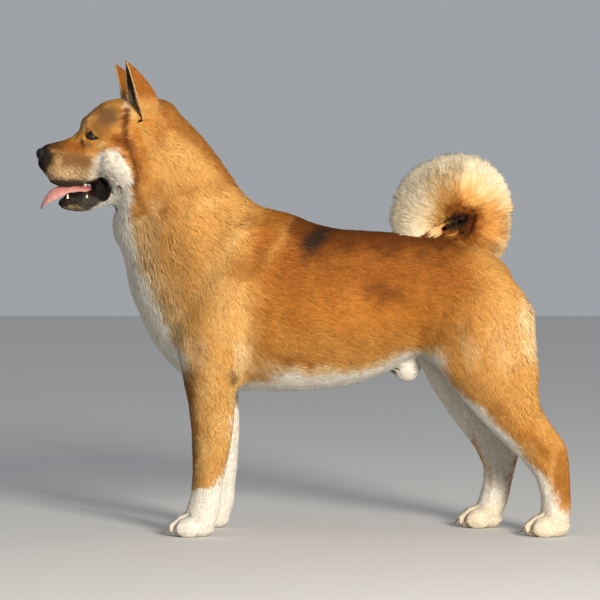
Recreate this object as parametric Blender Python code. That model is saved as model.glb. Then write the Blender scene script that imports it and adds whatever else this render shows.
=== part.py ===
"""A male Akita dog standing at life size, measured out to the tips of its coat.

The dog faces -X, its left side is towards -Y and +Z is up, in metres. The flesh is lofted
through ribs, joined into one body by voxels, and then parted into its named nodes by thin
cuts. Eyes, nose, tongue, claws, ears and tail are solids of their own. At the end everything
is moved so that the origin lies under the middle of the bounding box, on the floor.
"""

import math

import bmesh
import bpy
from mathutils import Euler, Matrix, Vector

# Driving dimensions. The ribs below are drawn for a dog 0.667 at the withers.
GAP = 0.0004  # between neighbouring nodes
HEAD_YAW = math.radians(11)  # the head turns a little to the dog's left
HEAD_PIVOT = Vector((-0.300, 0.0, 0.780))
FOOT_Y = 0.092  # how far each foot stands from the middle plane
EYE_RADIUS = 0.0115
FLESH_VOXEL = 0.0032
FLESH_TRIANGLES = 2950
RING_SIDES = 28

LEFT, RIGHT = -1, 1
SIDES = {"left": LEFT, "right": RIGHT}

COLOURS = {
    "coat_red": ((0.56, 0.27, 0.08), 0.85),
    "coat_cream": ((0.80, 0.68, 0.50), 0.85),
    "nose_leather": ((0.02, 0.018, 0.017), 0.35),
    "tongue_flesh": ((0.62, 0.24, 0.24), 0.40),
    "eye_brown": ((0.035, 0.018, 0.010), 0.08),
    "claw_horn": ((0.18, 0.13, 0.10), 0.45),
}

# Ribs of the body, from the nape to the rump: x, z of the back, x, z of the throat, chest or
# belly, half width, y
BODY_RIBS = [
    (-0.309, 0.899, -0.375, 0.675, 0.084, 0.0),
    (-0.264, 0.889, -0.388, 0.640, 0.091, 0.0),
    (-0.231, 0.851, -0.380, 0.597, 0.095, 0.0),
    (-0.196, 0.811, -0.361, 0.551, 0.100, 0.0),
    (-0.161, 0.767, -0.353, 0.504, 0.106, 0.0),
    (-0.128, 0.717, -0.331, 0.446, 0.112, 0.0),
    (-0.097, 0.680, -0.297, 0.382, 0.118, 0.0),
    (-0.062, 0.668, -0.246, 0.326, 0.123, 0.0),
    (-0.021, 0.659, -0.175, 0.297, 0.128, 0.0),
    (0.025, 0.640, -0.093, 0.290, 0.133, 0.0),
    (0.072, 0.627, 0.000, 0.290, 0.135, 0.0),
    (0.124, 0.624, 0.093, 0.299, 0.130, 0.0),
    (0.175, 0.621, 0.161, 0.322, 0.120, 0.0),
    (0.227, 0.616, 0.206, 0.345, 0.113, 0.0),
    (0.278, 0.610, 0.258, 0.370, 0.111, 0.0),
    (0.340, 0.600, 0.330, 0.384, 0.108, 0.0),
    (0.394, 0.581, 0.412, 0.397, 0.093, 0.0),
    (0.438, 0.541, 0.460, 0.420, 0.062, 0.0),
]

# Ribs of a foreleg, from the top of the shoulder blade to the foot: x, z of the front edge,
# x, z of the rear edge, half width, distance from the middle plane
FORELEG_RIBS = [
    (-0.147, 0.641, -0.065, 0.641, 0.020, 0.080),
    (-0.187, 0.559, -0.069, 0.559, 0.033, 0.092),
    (-0.234, 0.462, -0.091, 0.452, 0.041, 0.099),
    (-0.254, 0.391, -0.114, 0.371, 0.045, 0.101),
    (-0.239, 0.324, -0.128, 0.316, 0.043, 0.100),
    (-0.228, 0.269, -0.133, 0.269, 0.038, 0.096),
    (-0.222, 0.217, -0.135, 0.217, 0.034, 0.093),
    (-0.220, 0.166, -0.144, 0.166, 0.031, 0.092),
    (-0.220, 0.126, -0.154, 0.126, 0.031, 0.092),
    (-0.224, 0.085, -0.160, 0.085, 0.029, 0.092),
    (-0.232, 0.054, -0.164, 0.050, 0.031, 0.092),
    (-0.240, 0.026, -0.175, 0.018, 0.033, 0.092),
]

# Ribs of the left hind leg, which stands back, from the hip to the foot
HIND_LEG_RIBS = [
    (0.296, 0.561, 0.424, 0.547, 0.020, 0.066),
    (0.269, 0.482, 0.476, 0.478, 0.044, 0.081),
    (0.259, 0.411, 0.486, 0.413, 0.054, 0.087),
    (0.271, 0.354, 0.486, 0.352, 0.054, 0.092),
    (0.313, 0.303, 0.487, 0.295, 0.048, 0.095),
    (0.358, 0.247, 0.493, 0.258, 0.042, 0.095),
    (0.404, 0.200, 0.516, 0.224, 0.036, 0.095),
    (0.446, 0.163, 0.540, 0.191, 0.031, 0.093),
    (0.474, 0.128, 0.549, 0.154, 0.028, 0.092),
    (0.488, 0.095, 0.551, 0.106, 0.026, 0.092),
    (0.492, 0.059, 0.553, 0.059, 0.028, 0.092),
    (0.488, 0.032, 0.548, 0.026, 0.032, 0.092),
]
# How far forward of the left the right hind leg stands, for each rib
HIND_STRIDE = [0.003, 0.008, 0.018, 0.027, 0.043, 0.053, 0.064, 0.078, 0.091, 0.105, 0.117, 0.126]
# How far back of the left the right foreleg stands, for each rib
FORE_STRIDE = [0.0, 0.0, 0.0, 0.0, 0.002, 0.005, 0.010, 0.016, 0.022, 0.024, 0.025, 0.026]

# Ribs of the muzzle from the nose to the eyes, of the skull from the stop to the nape, and of
# the jaw from its tip to the throat. The head is drawn straight ahead.
MUZZLE_RIBS = [
    (-0.540, 0.788, -0.538, 0.760, 0.015, 0.0),
    (-0.528, 0.797, -0.526, 0.738, 0.025, 0.0),
    (-0.510, 0.8025, -0.508, 0.722, 0.031, 0.0),
    (-0.488, 0.808, -0.485, 0.7155, 0.036, 0.0),
    (-0.467, 0.816, -0.459, 0.717, 0.041, 0.0),
    (-0.451, 0.831, -0.432, 0.722, 0.046, 0.0),
    (-0.420, 0.850, -0.400, 0.730, 0.054, 0.0),
]
SKULL_RIBS = [
    (-0.453, 0.835, -0.440, 0.765, 0.030, 0.0),
    (-0.442, 0.858, -0.422, 0.745, 0.045, 0.0),
    (-0.426, 0.877, -0.402, 0.722, 0.058, 0.0),
    (-0.402, 0.890, -0.376, 0.700, 0.070, 0.0),
    (-0.375, 0.8945, -0.350, 0.685, 0.078, 0.0),
    (-0.340, 0.898, -0.315, 0.680, 0.083, 0.0),
    (-0.305, 0.897, -0.280, 0.690, 0.083, 0.0),
    (-0.270, 0.885, -0.250, 0.700, 0.078, 0.0),
]
JAW_RIBS = [
    (-0.500, 0.684, -0.498, 0.674, 0.009, 0.0),
    (-0.489, 0.691, -0.486, 0.6665, 0.018, 0.0),
    (-0.468, 0.699, -0.466, 0.6625, 0.025, 0.0),
    (-0.447, 0.7055, -0.445, 0.6625, 0.031, 0.0),
    (-0.424, 0.712, -0.422, 0.667, 0.038, 0.0),
    (-0.402, 0.718, -0.400, 0.672, 0.047, 0.0),
    (-0.375, 0.725, -0.375, 0.670, 0.058, 0.0),
]
TONGUE_RIBS = [
    (-0.415, 0.7185, -0.413, 0.708, 0.014, 0.0),
    (-0.440, 0.7135, -0.438, 0.702, 0.0175, 0.0),
    (-0.470, 0.7115, -0.468, 0.699, 0.019, 0.0),
    (-0.500, 0.709, -0.497, 0.698, 0.019, 0.0),
    (-0.519, 0.699, -0.512, 0.691, 0.0175, 0.0),
    (-0.530, 0.683, -0.523, 0.679, 0.014, 0.0),
    (-0.535, 0.667, -0.530, 0.665, 0.007, 0.0),
]

# Corners of the right ear: where its inner edge, its outer edge and its back leave the head
EAR_INNER = Vector((-0.358, 0.034, 0.880))
EAR_OUTER = Vector((-0.344, 0.077, 0.852))
EAR_BACK = Vector((-0.303, 0.058, 0.880))
EAR_TIP = Vector((-0.372, 0.083, 0.968))
EAR_THICKNESS = 0.0055

# The tail curls over the back, its ribs fanning out from one point: angle from the rear, length
# of the coat out from that point, half width, y
TAIL_CENTRE = Vector((0.322, 0.0, 0.638))
TAIL_HOLLOW = 0.013
TAIL_RIBS = [
    (-52, 0.120, 0.036, 0.0),
    (-35, 0.118, 0.043, 0.0),
    (-14, 0.115, 0.050, 0.0),
    (5, 0.116, 0.057, 0.001),
    (25, 0.124, 0.062, 0.001),
    (45, 0.135, 0.064, 0.000),
    (65, 0.144, 0.064, -0.002),
    (85, 0.146, 0.063, -0.004),
    (105, 0.144, 0.061, -0.006),
    (125, 0.145, 0.057, -0.008),
    (142, 0.145, 0.051, -0.010),
    (158, 0.142, 0.044, -0.011),
    (175, 0.140, 0.036, -0.012),
    (192, 0.120, 0.024, -0.012),
    (206, 0.092, 0.010, -0.012),
]

# Outlines, x and z, of the regions that part the flesh. A leg's region starts beside the breast
# bone or between the thighs, the others run right across.
FORELEG_INSIDE = 0.047
FORELEG_OUTLINE = [
    (-0.300, -0.020),
    (-0.060, -0.020),
    (-0.060, 0.200),
    (-0.100, 0.285),
    (-0.085, 0.400),
    (-0.068, 0.500),
    (-0.075, 0.575),
    (-0.100, 0.622),
    (-0.142, 0.622),
    (-0.180, 0.580),
    (-0.232, 0.490),
    (-0.266, 0.410),
    (-0.270, 0.350),
    (-0.300, 0.300),
]
HIND_LEG_INSIDE = 0.030
HIND_LEG_OUTLINE = [
    (0.270, -0.020),
    (0.620, -0.020),
    (0.620, 0.480),
    (0.470, 0.535),
    (0.430, 0.560),
    (0.385, 0.572),
    (0.335, 0.562),
    (0.292, 0.528),
    (0.258, 0.465),
    (0.241, 0.400),
    (0.242, 0.350),
    (0.262, 0.300),
]
FOREPAW_OUTLINE = [(-0.40, -0.10), (0.10, -0.10), (0.10, 0.112), (-0.40, 0.092)]
FOREARM_OUTLINE = [(-0.40, -0.10), (0.10, -0.10), (0.10, 0.290), (-0.40, 0.345)]
SHANK_OUTLINE = [(0.10, -0.10), (0.70, -0.10), (0.70, 0.255), (0.10, 0.365)]
LEFT_HINDFOOT_OUTLINE = [(0.10, -0.10), (0.70, -0.10), (0.70, 0.212), (0.10, 0.042)]
RIGHT_HINDFOOT_OUTLINE = [(0.10, -0.10), (0.70, -0.10), (0.70, 0.225), (0.10, 0.055)]
HEAD_OUTLINE = [
    (-0.700, 0.580),
    (-0.410, 0.655),
    (-0.350, 0.668),
    (-0.288, 0.860),
    (-0.268, 0.950),
    (-0.300, 1.050),
    (-0.700, 1.050),
]
JAW_OUTLINE = [
    (-0.580, 0.600),
    (-0.352, 0.640),
    (-0.348, 0.736),
    (-0.394, 0.7195),
    (-0.430, 0.7145),
    (-0.480, 0.712),
    (-0.580, 0.706),
]
NECK_OUTLINE = [
    (-0.600, 0.430),
    (-0.370, 0.530),
    (-0.165, 0.765),
    (-0.100, 0.860),
    (-0.200, 1.050),
    (-0.600, 1.050),
]
RUMP_OUTLINE = [(0.275, 0.20), (0.80, 0.20), (0.80, 0.90), (0.275, 0.90)]
LOIN_OUTLINE = [(0.090, 0.20), (0.80, 0.20), (0.80, 0.90), (0.090, 0.90)]
TAIL_TIP_OUTLINE = [(0.000, 0.40), (0.300, 0.40), (0.300, 0.90), (0.000, 0.90)]


def clear_scene():
    for obj in list(bpy.data.objects):
        bpy.data.objects.remove(obj)


def material(name):
    found = bpy.data.materials.get(name)
    if found:
        return found
    colour, roughness = COLOURS[name]
    made = bpy.data.materials.new(name)
    made.use_nodes = True
    shader = made.node_tree.nodes["Principled BSDF"]
    shader.inputs["Base Color"].default_value = (*colour, 1.0)
    shader.inputs["Roughness"].default_value = roughness
    return made


def object_from(bm, name):
    bmesh.ops.recalc_face_normals(bm, faces=bm.faces)
    mesh = bpy.data.meshes.new(name)
    bm.to_mesh(mesh)
    bm.free()
    obj = bpy.data.objects.new(name, mesh)
    bpy.context.scene.collection.objects.link(obj)
    return obj


def tube(name, rings):
    """A closed solid through rings with the same number of points."""
    bm = bmesh.new()
    loops = [[bm.verts.new(point) for point in ring] for ring in rings]
    for one, other in zip(loops, loops[1:]):
        for k in range(len(one)):
            bm.faces.new((one[k - 1], one[k], other[k], other[k - 1]))
    bm.faces.new(loops[0])
    bm.faces.new(reversed(loops[-1]))
    return object_from(bm, name)


def catmull_rom(rows, steps):
    """The rows with steps - 1 more between each two, on a smooth curve through them all."""
    smooth = []
    for i in range(len(rows) - 1):
        before, start, end, after = (rows[max(0, min(len(rows) - 1, i + k))] for k in (-1, 0, 1, 2))
        for step in range(steps):
            t = step / steps
            row = []
            for p, q, r, s in zip(before, start, end, after):
                bend = (2 * p - 5 * q + 4 * r - s) * t**2 + (3 * q - p - 3 * r + s) * t**3
                row.append(0.5 * (2 * q + (r - p) * t + bend))
            smooth.append(row)
    smooth.append(rows[-1])
    return smooth


def signed_power(value, power):
    return math.copysign(abs(value) ** power, value)


def loft(name, ribs, steps=3, square=2.0, egg=0.0, sides=RING_SIDES):
    """A closed tube through ribs. square is the rings' superellipse power, and egg widens each
    ring towards its second edge."""
    rings = []
    for ax, az, bx, bz, width, y in catmull_rom(ribs, steps):
        first = Vector((ax, y, az))
        second = Vector((bx, y, bz))
        middle = (first + second) / 2
        half = (first - second) / 2
        ring = []
        for k in range(sides):
            angle = 2 * math.pi * k / sides
            along = signed_power(math.cos(angle), 2 / square)
            across = signed_power(math.sin(angle), 2 / square) * (1 - egg * along)
            ring.append(middle + half * along + Vector((0, width * across, 0)))
        rings.append(ring)
    return tube(name, rings)


def ellipsoid(name, centre, radii, turn=(0, 0, 0), detail=3):
    """An even ball of triangles, or at detail 0 a light one with its poles up and down."""
    bm = bmesh.new()
    place = Matrix.LocRotScale(Vector(centre), Euler([math.radians(a) for a in turn]), Vector(radii))
    if detail:
        bmesh.ops.create_icosphere(bm, subdivisions=detail, radius=1.0, matrix=place)
    else:
        bmesh.ops.create_uvsphere(bm, u_segments=14, v_segments=8, radius=1.0, matrix=place)
    return object_from(bm, name)


def inset_outline(outline, distance):
    """The outline with each of its sides moved in by the distance."""
    area = sum(a[0] * b[1] - b[0] * a[1] for a, b in zip(outline, outline[1:] + outline[:1]))
    inward = distance if area > 0 else -distance
    points = []
    for i, here in enumerate(outline):
        here = Vector(here)
        before = (here - Vector(outline[i - 1])).normalized()
        after = (Vector(outline[(i + 1) % len(outline)]) - here).normalized()
        lean = (before.orthogonal() + after.orthogonal()) / (1 + before.dot(after))
        points.append(here + lean * inward)
    return points


def prism(outline, near, far, inset=0.0):
    """The outline in x and z as a solid from y near to y far, its walls moved in by the inset."""
    near, far = min(near, far) + inset, max(near, far) - inset
    points = inset_outline(outline, inset)
    return tube("region", [[Vector((p[0], y, p[1])) for p in points] for y in (near, far)])


def joined(name, objects):
    """One mesh of all the objects' closed shells."""
    bm = bmesh.new()
    for obj in objects:
        bm.from_mesh(obj.data)
        bpy.data.objects.remove(obj)
    return object_from(bm, name)


def copied(obj, name):
    made = obj.copy()
    made.data = obj.data.copy()
    made.name = name
    bpy.context.scene.collection.objects.link(made)
    return made


def apply_modifiers(obj):
    graph = bpy.context.evaluated_depsgraph_get()
    made = bpy.data.meshes.new_from_object(obj.evaluated_get(graph), depsgraph=graph)
    obj.modifiers.clear()
    obj.data = made
    return obj


def in_triangles(obj, flat=0.0):
    """The obj in triangles, as few as its flats allow: faces within the flat angle are one first."""
    bm = bmesh.new()
    bm.from_mesh(obj.data)
    if flat:
        bmesh.ops.dissolve_limit(bm, angle_limit=math.radians(flat), verts=bm.verts, edges=bm.edges)
    bmesh.ops.triangulate(bm, faces=bm.faces)
    bm.to_mesh(obj.data)
    bm.free()
    return obj


def boolean(obj, cutter, operation="DIFFERENCE"):
    """The obj cut by, shared with or joined to the cutter, in plain triangles for the next cut."""
    made = obj.modifiers.new("Boolean", "BOOLEAN")
    made.operation = operation
    made.solver = "EXACT"
    made.object = cutter
    apply_modifiers(obj)
    bpy.data.objects.remove(cutter)
    return in_triangles(obj)


def remesh(obj, voxel, smoothing):
    made = obj.modifiers.new("Remesh", "REMESH")
    made.mode = "VOXEL"
    made.voxel_size = voxel
    relax = obj.modifiers.new("Smooth", "SMOOTH")
    relax.factor = 0.5
    relax.iterations = smoothing
    return apply_modifiers(obj)


def displace(obj, distance):
    made = obj.modifiers.new("Displace", "DISPLACE")
    made.mid_level = 0.0
    made.strength = distance
    return apply_modifiers(obj)


def grown(obj, distance=GAP):
    return displace(copied(obj, "grown"), distance)


def filleted(obj, radius, voxel):
    """Creases narrower than the radius are filled: the surface goes out by it and back in."""
    remesh(obj, voxel, 3)
    displace(obj, radius)
    remesh(obj, voxel, 3)
    displace(obj, -radius)
    return remesh(obj, voxel, 2)


def turned(obj):
    """The head's yaw, for anything drawn on the straight head."""
    about = Matrix.Translation(HEAD_PIVOT) @ Matrix.Rotation(HEAD_YAW, 4, "Z") @ Matrix.Translation(-HEAD_PIVOT)
    obj.data.transform(about)
    return obj


def head_masses():
    masses = [loft("muzzle", MUZZLE_RIBS, square=2.6), loft("skull", SKULL_RIBS, square=2.2)]
    for side in SIDES.values():
        masses += [
            ellipsoid("cheek", (-0.362, side * 0.050, 0.762), (0.060, 0.040, 0.058), (0, -20, 0)),
            ellipsoid("brow", (-0.428, side * 0.030, 0.846), (0.022, 0.016, 0.016)),
            ellipsoid("flew", (-0.482, side * 0.020, 0.739), (0.040, 0.018, 0.022)),
        ]
    return [turned(mass) for mass in masses]


def mirrored(ribs, side, stride=None):
    stride = stride or [0.0] * len(ribs)
    return [(ax + s, az, bx + s, bz, w, side * y) for (ax, az, bx, bz, w, y), s in zip(ribs, stride)]


def leg_ribs(limb, side):
    if limb == "fore":
        return mirrored(FORELEG_RIBS, side, FORE_STRIDE if side == RIGHT else None)
    return mirrored(HIND_LEG_RIBS, side, [-s for s in HIND_STRIDE] if side == RIGHT else None)


def toe_line(limb, side):
    """The x of the two middle toes' tips."""
    if limb == "fore":
        return -0.270 + (FORE_STRIDE[-1] if side == RIGHT else 0.0)
    return 0.455 - (HIND_STRIDE[-1] if side == RIGHT else 0.0)


def toe_places(limb, side):
    """The front tip of each toe, from the dog's left to its right."""
    x = toe_line(limb, side)
    return [(x + back, side * FOOT_Y + across) for back, across in
            ((0.016, -0.0275), (0.001, -0.0095), (0.001, 0.0095), (0.016, 0.0275))]


def paw_masses(limb, side):
    x = toe_line(limb, side)
    y = side * FOOT_Y
    masses = [
        ellipsoid("ball", (x + 0.055, y, 0.020), (0.042, 0.032, 0.027)),
        ellipsoid("arch", (x + 0.040, y, 0.026), (0.028, 0.030, 0.021)),
    ]
    for toe_x, toe_y in toe_places(limb, side):
        masses.append(ellipsoid("toe", (toe_x + 0.027, toe_y, 0.017), (0.0275, 0.0118, 0.0195)))
    return masses


def claws(limb, side):
    """The claws of one foot, from the innermost toe out, and the dewclaw of a forefoot."""
    made = []
    for toe_x, toe_y in toe_places(limb, side):
        ribs = [
            (toe_x + 0.010, 0.0230, toe_x + 0.010, 0.0155, 0.0029, toe_y),
            (toe_x - 0.003, 0.0180, toe_x - 0.001, 0.0100, 0.0025, toe_y),
            (toe_x - 0.0085, 0.0055, toe_x - 0.0070, 0.0040, 0.0008, toe_y),
        ]
        made.append(loft("claw", ribs, steps=1, sides=5))
    if side == LEFT:
        made.reverse()
    if limb == "fore":
        x = FORE_STRIDE[9] if side == RIGHT else 0.0
        y = side * (FOOT_Y - 0.029)
        ribs = [
            (x - 0.203, 0.094, x - 0.196, 0.093, 0.0035, y + side * 0.006),
            (x - 0.208, 0.084, x - 0.203, 0.082, 0.0028, y - side * 0.001),
            (x - 0.212, 0.075, x - 0.2105, 0.0745, 0.0008, y - side * 0.001),
        ]
        made.append(loft("claw", ribs, steps=1, sides=5))
    return made


def whole_flesh():
    """Neck, trunk, head, legs and feet as one closed body."""
    core = [loft("trunk", BODY_RIBS, square=2.25, egg=0.04)]
    for side in SIDES.values():
        core.append(loft("shoulder", leg_ribs("fore", side)[:6], square=2.2))
        core.append(loft("thigh", leg_ribs("hind", side)[:6], square=2.2))
    body = filleted(joined("core", core), 0.022, 0.0065)
    body = filleted(joined("core", [body, *head_masses()]), 0.008, 0.0035)
    masses = [body, turned(loft("mandible", JAW_RIBS, square=2.4))]
    for side in SIDES.values():
        for limb in ("fore", "hind"):
            masses.append(loft("leg", leg_ribs(limb, side)[3:]))
            masses += paw_masses(limb, side)
    masses.append(ellipsoid("sheath", (0.221, 0.0, 0.338), (0.032, 0.021, 0.031), (0, -15, 0)))
    return remesh(joined("flesh", masses), FLESH_VOXEL, 4)


def simplified(obj, triangles):
    """Fewer triangles, spent mostly on the head and the feet."""
    share = obj.vertex_groups.new(name="plain")
    for vert in obj.data.vertices:
        fine = vert.co.z < 0.060 or (vert.co.x < -0.34 and vert.co.z > 0.66)
        share.add([vert.index], 0.95 if fine else 1.0, "REPLACE")
    made = obj.modifiers.new("Decimate", "DECIMATE")
    made.ratio = triangles / (2 * len(obj.data.vertices))
    made.vertex_group = "plain"
    made.vertex_group_factor = 1.0
    return apply_modifiers(obj)


def ear(side):
    """A cupped leaf: each ring runs round its back from the inner edge to the outer, and home inside."""
    root = (EAR_INNER + EAR_OUTER) / 2 + Vector((0.004, 0, -0.002))
    rings = []
    for t in (-0.18, 0.08, 0.32, 0.54, 0.74, 0.90, 1.0):
        middle = root.lerp(EAR_TIP, t)
        width = 1.0 if t < 0 else max(1 - t**1.7, 0.05)
        inner = middle + (EAR_INNER - root) * width
        outer = middle + (EAR_OUTER - root) * width
        back = middle + (EAR_BACK - root) * width
        outside = []
        inside = []
        for k in range(7):
            s = k / 6
            edge = inner.lerp(outer, s)
            bow = (back - inner.lerp(outer, 0.5)) * math.sin(math.pi * s) ** 0.75
            outside.append(edge + bow)
            inside.append(edge + bow * max(1 - EAR_THICKNESS / max(bow.length, 1e-6), 0.0) * 0.98)
        lip = (outer - inner).normalized() * EAR_THICKNESS * 0.4
        inside = [p + lip * (1 - 2 * k / 6) * width for k, p in enumerate(inside)]
        ring = outside + inside[::-1]
        rings.append([Vector((p.x, side * p.y, p.z)) for p in ring])
    return turned(tube("ear", rings))


def tail():
    ribs = []
    for angle, length, width, y in TAIL_RIBS:
        out = Vector((math.cos(math.radians(angle)), 0, math.sin(math.radians(angle))))
        tip = TAIL_CENTRE + out * length
        root = TAIL_CENTRE + out * TAIL_HOLLOW
        ribs.append((tip.x, tip.z, root.x, root.z, width, y))
    return loft("tail", ribs, steps=1, square=2.1, sides=16)


def eye(side):
    centre = (-0.4345, side * 0.0385, 0.819)
    return turned(ellipsoid("eye", centre, (EYE_RADIUS,) * 3, detail=0))


def nose():
    made = turned(ellipsoid("nose", (-0.5315, 0.0, 0.777), (0.0137, 0.0172, 0.0147), detail=0))
    for side in SIDES.values():
        hole = ellipsoid("nostril", (-0.5435, side * 0.0080, 0.7765), (0.0050, 0.0036, 0.0042), detail=1)
        boolean(made, turned(hole))
    return made


def lower_canine(side):
    ribs = [
        (-0.481, 0.690, -0.4745, 0.690, 0.0030, side * 0.0190),
        (-0.481, 0.698, -0.4755, 0.698, 0.0025, side * 0.0200),
        (-0.4795, 0.7045, -0.4768, 0.7045, 0.0014, side * 0.0207),
        (-0.4775, 0.7085, -0.4770, 0.7085, 0.0004, side * 0.0208),
    ]
    return turned(loft("canine", ribs, steps=1, sides=8))


def taken(rest, name, outline, near=-0.5, far=0.5):
    """The node inside a region, with the gap round it, and the rest without that region."""
    node = boolean(copied(rest, name), prism(outline, near, far, GAP), "INTERSECT")
    boolean(rest, prism(outline, near, far))
    return node


def named(obj, name, colour):
    obj.name = name
    obj.data.name = name
    in_triangles(obj, 0.4)
    obj.vertex_groups.clear()
    obj.data.materials.clear()
    obj.data.materials.append(material(colour))
    return obj


def centre_on_origin():
    """The origin goes under the middle of everything's bounding box, level with the soles."""
    points = [vert.co for obj in bpy.data.objects for vert in obj.data.vertices]
    x, y = ((min(p[i] for p in points) + max(p[i] for p in points)) / 2 for i in (0, 1))
    shift = Matrix.Translation((-x, -y, -min(p.z for p in points)))
    for obj in bpy.data.objects:
        obj.data.transform(shift)


def part_legs(rest, nodes):
    for word, side in SIDES.items():
        leg = taken(rest, "leg", FORELEG_OUTLINE, side * FORELEG_INSIDE, side * 0.3)
        nodes[f"forepaw_{word}"] = taken(leg, "paw", FOREPAW_OUTLINE)
        nodes[f"foreleg_{word}_lower"] = taken(leg, "forearm", FOREARM_OUTLINE)
        nodes[f"foreleg_{word}_upper"] = leg
        leg = taken(rest, "leg", HIND_LEG_OUTLINE, side * HIND_LEG_INSIDE, side * 0.3)
        foot = LEFT_HINDFOOT_OUTLINE if side == LEFT else RIGHT_HINDFOOT_OUTLINE
        nodes[f"hindfoot_{word}"] = taken(leg, "foot", foot)
        nodes[f"shank_{word}"] = taken(leg, "shank", SHANK_OUTLINE)
        nodes[f"thigh_{word}"] = leg


def part_trunk(rest, nodes):
    head = taken(rest, "head", HEAD_OUTLINE)
    nodes["jaw"] = taken(head, "jaw", JAW_OUTLINE)
    nodes["head"] = head
    nodes["neck"] = taken(rest, "neck", NECK_OUTLINE)
    nodes["rump"] = taken(rest, "rump", RUMP_OUTLINE)
    nodes["loin"] = taken(rest, "loin", LOIN_OUTLINE)
    nodes["chest"] = rest


def main():
    clear_scene()
    flesh = simplified(whole_flesh(), FLESH_TRIANGLES)
    boolean(flesh, prism([(-2, -1), (2, -1), (2, 0), (-2, 0)], -1, 1))

    tongue = turned(loft("tongue", TONGUE_RIBS, steps=1, sides=12))
    small = {"nose": (nose(), "nose_leather"), "tongue": (tongue, "tongue_flesh")}
    fitted = {"tail": tail()}
    for word, side in SIDES.items():
        small[f"eye_{word}"] = (eye(side), "eye_brown")
        fitted[f"ear_{word}"] = ear(side)
        for limb in ("fore", "hind"):
            for number, claw in enumerate(claws(limb, side), 1):
                name = f"{limb}claw_{word}_{number}" if number < 5 else f"dewclaw_{word}"
                small[name] = (claw, "claw_horn")
    for name, obj in fitted.items():
        boolean(obj, grown(flesh))
    for obj, colour in small.values():
        boolean(flesh, grown(obj))

    nodes = {}
    part_legs(flesh, nodes)
    part_trunk(flesh, nodes)
    for side in SIDES.values():
        boolean(nodes["jaw"], lower_canine(side), "UNION")
    nodes["tail_tip"] = taken(fitted["tail"], "tip", TAIL_TIP_OUTLINE)
    nodes["tail_base"] = fitted.pop("tail")
    nodes.update(fitted)

    cream = ("forepaw", "hindfoot", "tail", "jaw")
    for name, obj in nodes.items():
        named(obj, name, "coat_cream" if name.startswith(cream) else "coat_red")
    for name, (obj, colour) in small.items():
        named(obj, name, colour)
    centre_on_origin()


main()
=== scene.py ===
"""The dressed Akita: one skin over the flesh, a coat of tufts, and its eyes, nose, mouth and claws.

Everything is in metres in the frame's axes: the dog faces -X, and its left side is towards -Y.
Places on the head are given as if it faced straight ahead, and head_turned() yaws them.
"""

import math

import bmesh
import bpy
import numpy as np
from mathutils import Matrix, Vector
from mathutils.bvhtree import BVHTree


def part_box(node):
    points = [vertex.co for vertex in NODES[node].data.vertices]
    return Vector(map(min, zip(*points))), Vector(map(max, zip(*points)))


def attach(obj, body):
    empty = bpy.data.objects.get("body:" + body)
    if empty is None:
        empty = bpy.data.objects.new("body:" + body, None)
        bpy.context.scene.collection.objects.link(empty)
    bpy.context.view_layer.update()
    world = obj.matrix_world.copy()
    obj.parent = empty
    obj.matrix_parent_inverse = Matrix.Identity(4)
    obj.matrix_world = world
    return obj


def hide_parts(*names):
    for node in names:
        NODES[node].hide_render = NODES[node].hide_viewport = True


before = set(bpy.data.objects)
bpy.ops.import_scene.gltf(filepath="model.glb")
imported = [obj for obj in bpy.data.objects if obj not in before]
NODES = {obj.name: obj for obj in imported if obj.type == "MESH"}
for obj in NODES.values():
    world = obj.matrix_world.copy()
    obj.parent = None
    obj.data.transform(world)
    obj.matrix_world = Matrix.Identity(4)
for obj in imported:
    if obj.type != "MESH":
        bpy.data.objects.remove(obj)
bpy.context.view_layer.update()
SIDES = {"left": -1, "right": 1}
RNG = np.random.default_rng(9)

# The head's turn, about the top of the neck
HEAD_YAW = math.radians(11)
HEAD_PIVOT = np.array((-0.306, 0.0, 0.780))

# The nose leather
NOSE_CENTRE = np.array((-0.5355, 0.0, 0.777))
NOSE_SIZE = np.array((0.0150, 0.0180, 0.0155))
NOSE_CELLS = 900.0  # to the metre

# The tail curls in a ring round this point
TAIL_CENTRE = np.array((0.316, 0.0, 0.638))

EYE_PLACE = np.array((-0.4405, 0.0385, 0.8175))
EYE_RADIUS = 0.0108

SKIN_VOXEL = 0.0027
CUT_FILL = 0.0007  # closes the thin cuts between the flesh nodes
TOE_GROOVE = 0.0038  # how deep the grooves between the toes are
COLOUR = "coat_colour"  # the colour attribute of every painted mesh
SKIN_SHADE = 0.8  # the skin's colour as a share of its tufts', since it lies in their shade

# The tufts: their number is to the square metre where it doesn't follow from their width
TUFT_THINNING = 1.0
EAR_TUFTS = 420_000.0
TAIL_TUFTS = 900_000.0
WIDTH_SHARE = 0.036  # of a body tuft's length
ROOT_DEPTH = 0.0006  # how far inside the skin the tufts start
UV_PATCH = 0.003  # the size of a tuft's patch on the OFBake map
PIECE_LIMIT = 199_000  # triangles in one piece of the coat
CHUNK = 50_000  # points measured against all the guides at once


# ---------------------------------------------------------------- small helpers


def smooth(low, high, value):
    t = np.clip((value - low) / (high - low), 0.0, 1.0)
    return t * t * (3 - 2 * t)


def unit(v):
    return v / np.maximum(np.linalg.norm(v, axis=-1, keepdims=True), 1e-9)


def waves(points, size, seed):
    """Smooth noise, about -1 to 1, whose largest lumps are the size across."""
    rng = np.random.default_rng(seed)
    total = np.zeros(len(points))
    norm = 0.0
    for weight in (1.0, 0.6):
        turns = unit(rng.normal(size=(7, 3))) * (2 * math.pi / size) * rng.uniform(0.6, 1.4, (7, 1))
        phases = rng.uniform(0, 2 * math.pi, 7)
        total += weight * np.sin(points @ turns.T + phases).sum(1) / 2.6
        norm += weight
        size /= 2.1
    return total / norm


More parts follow.
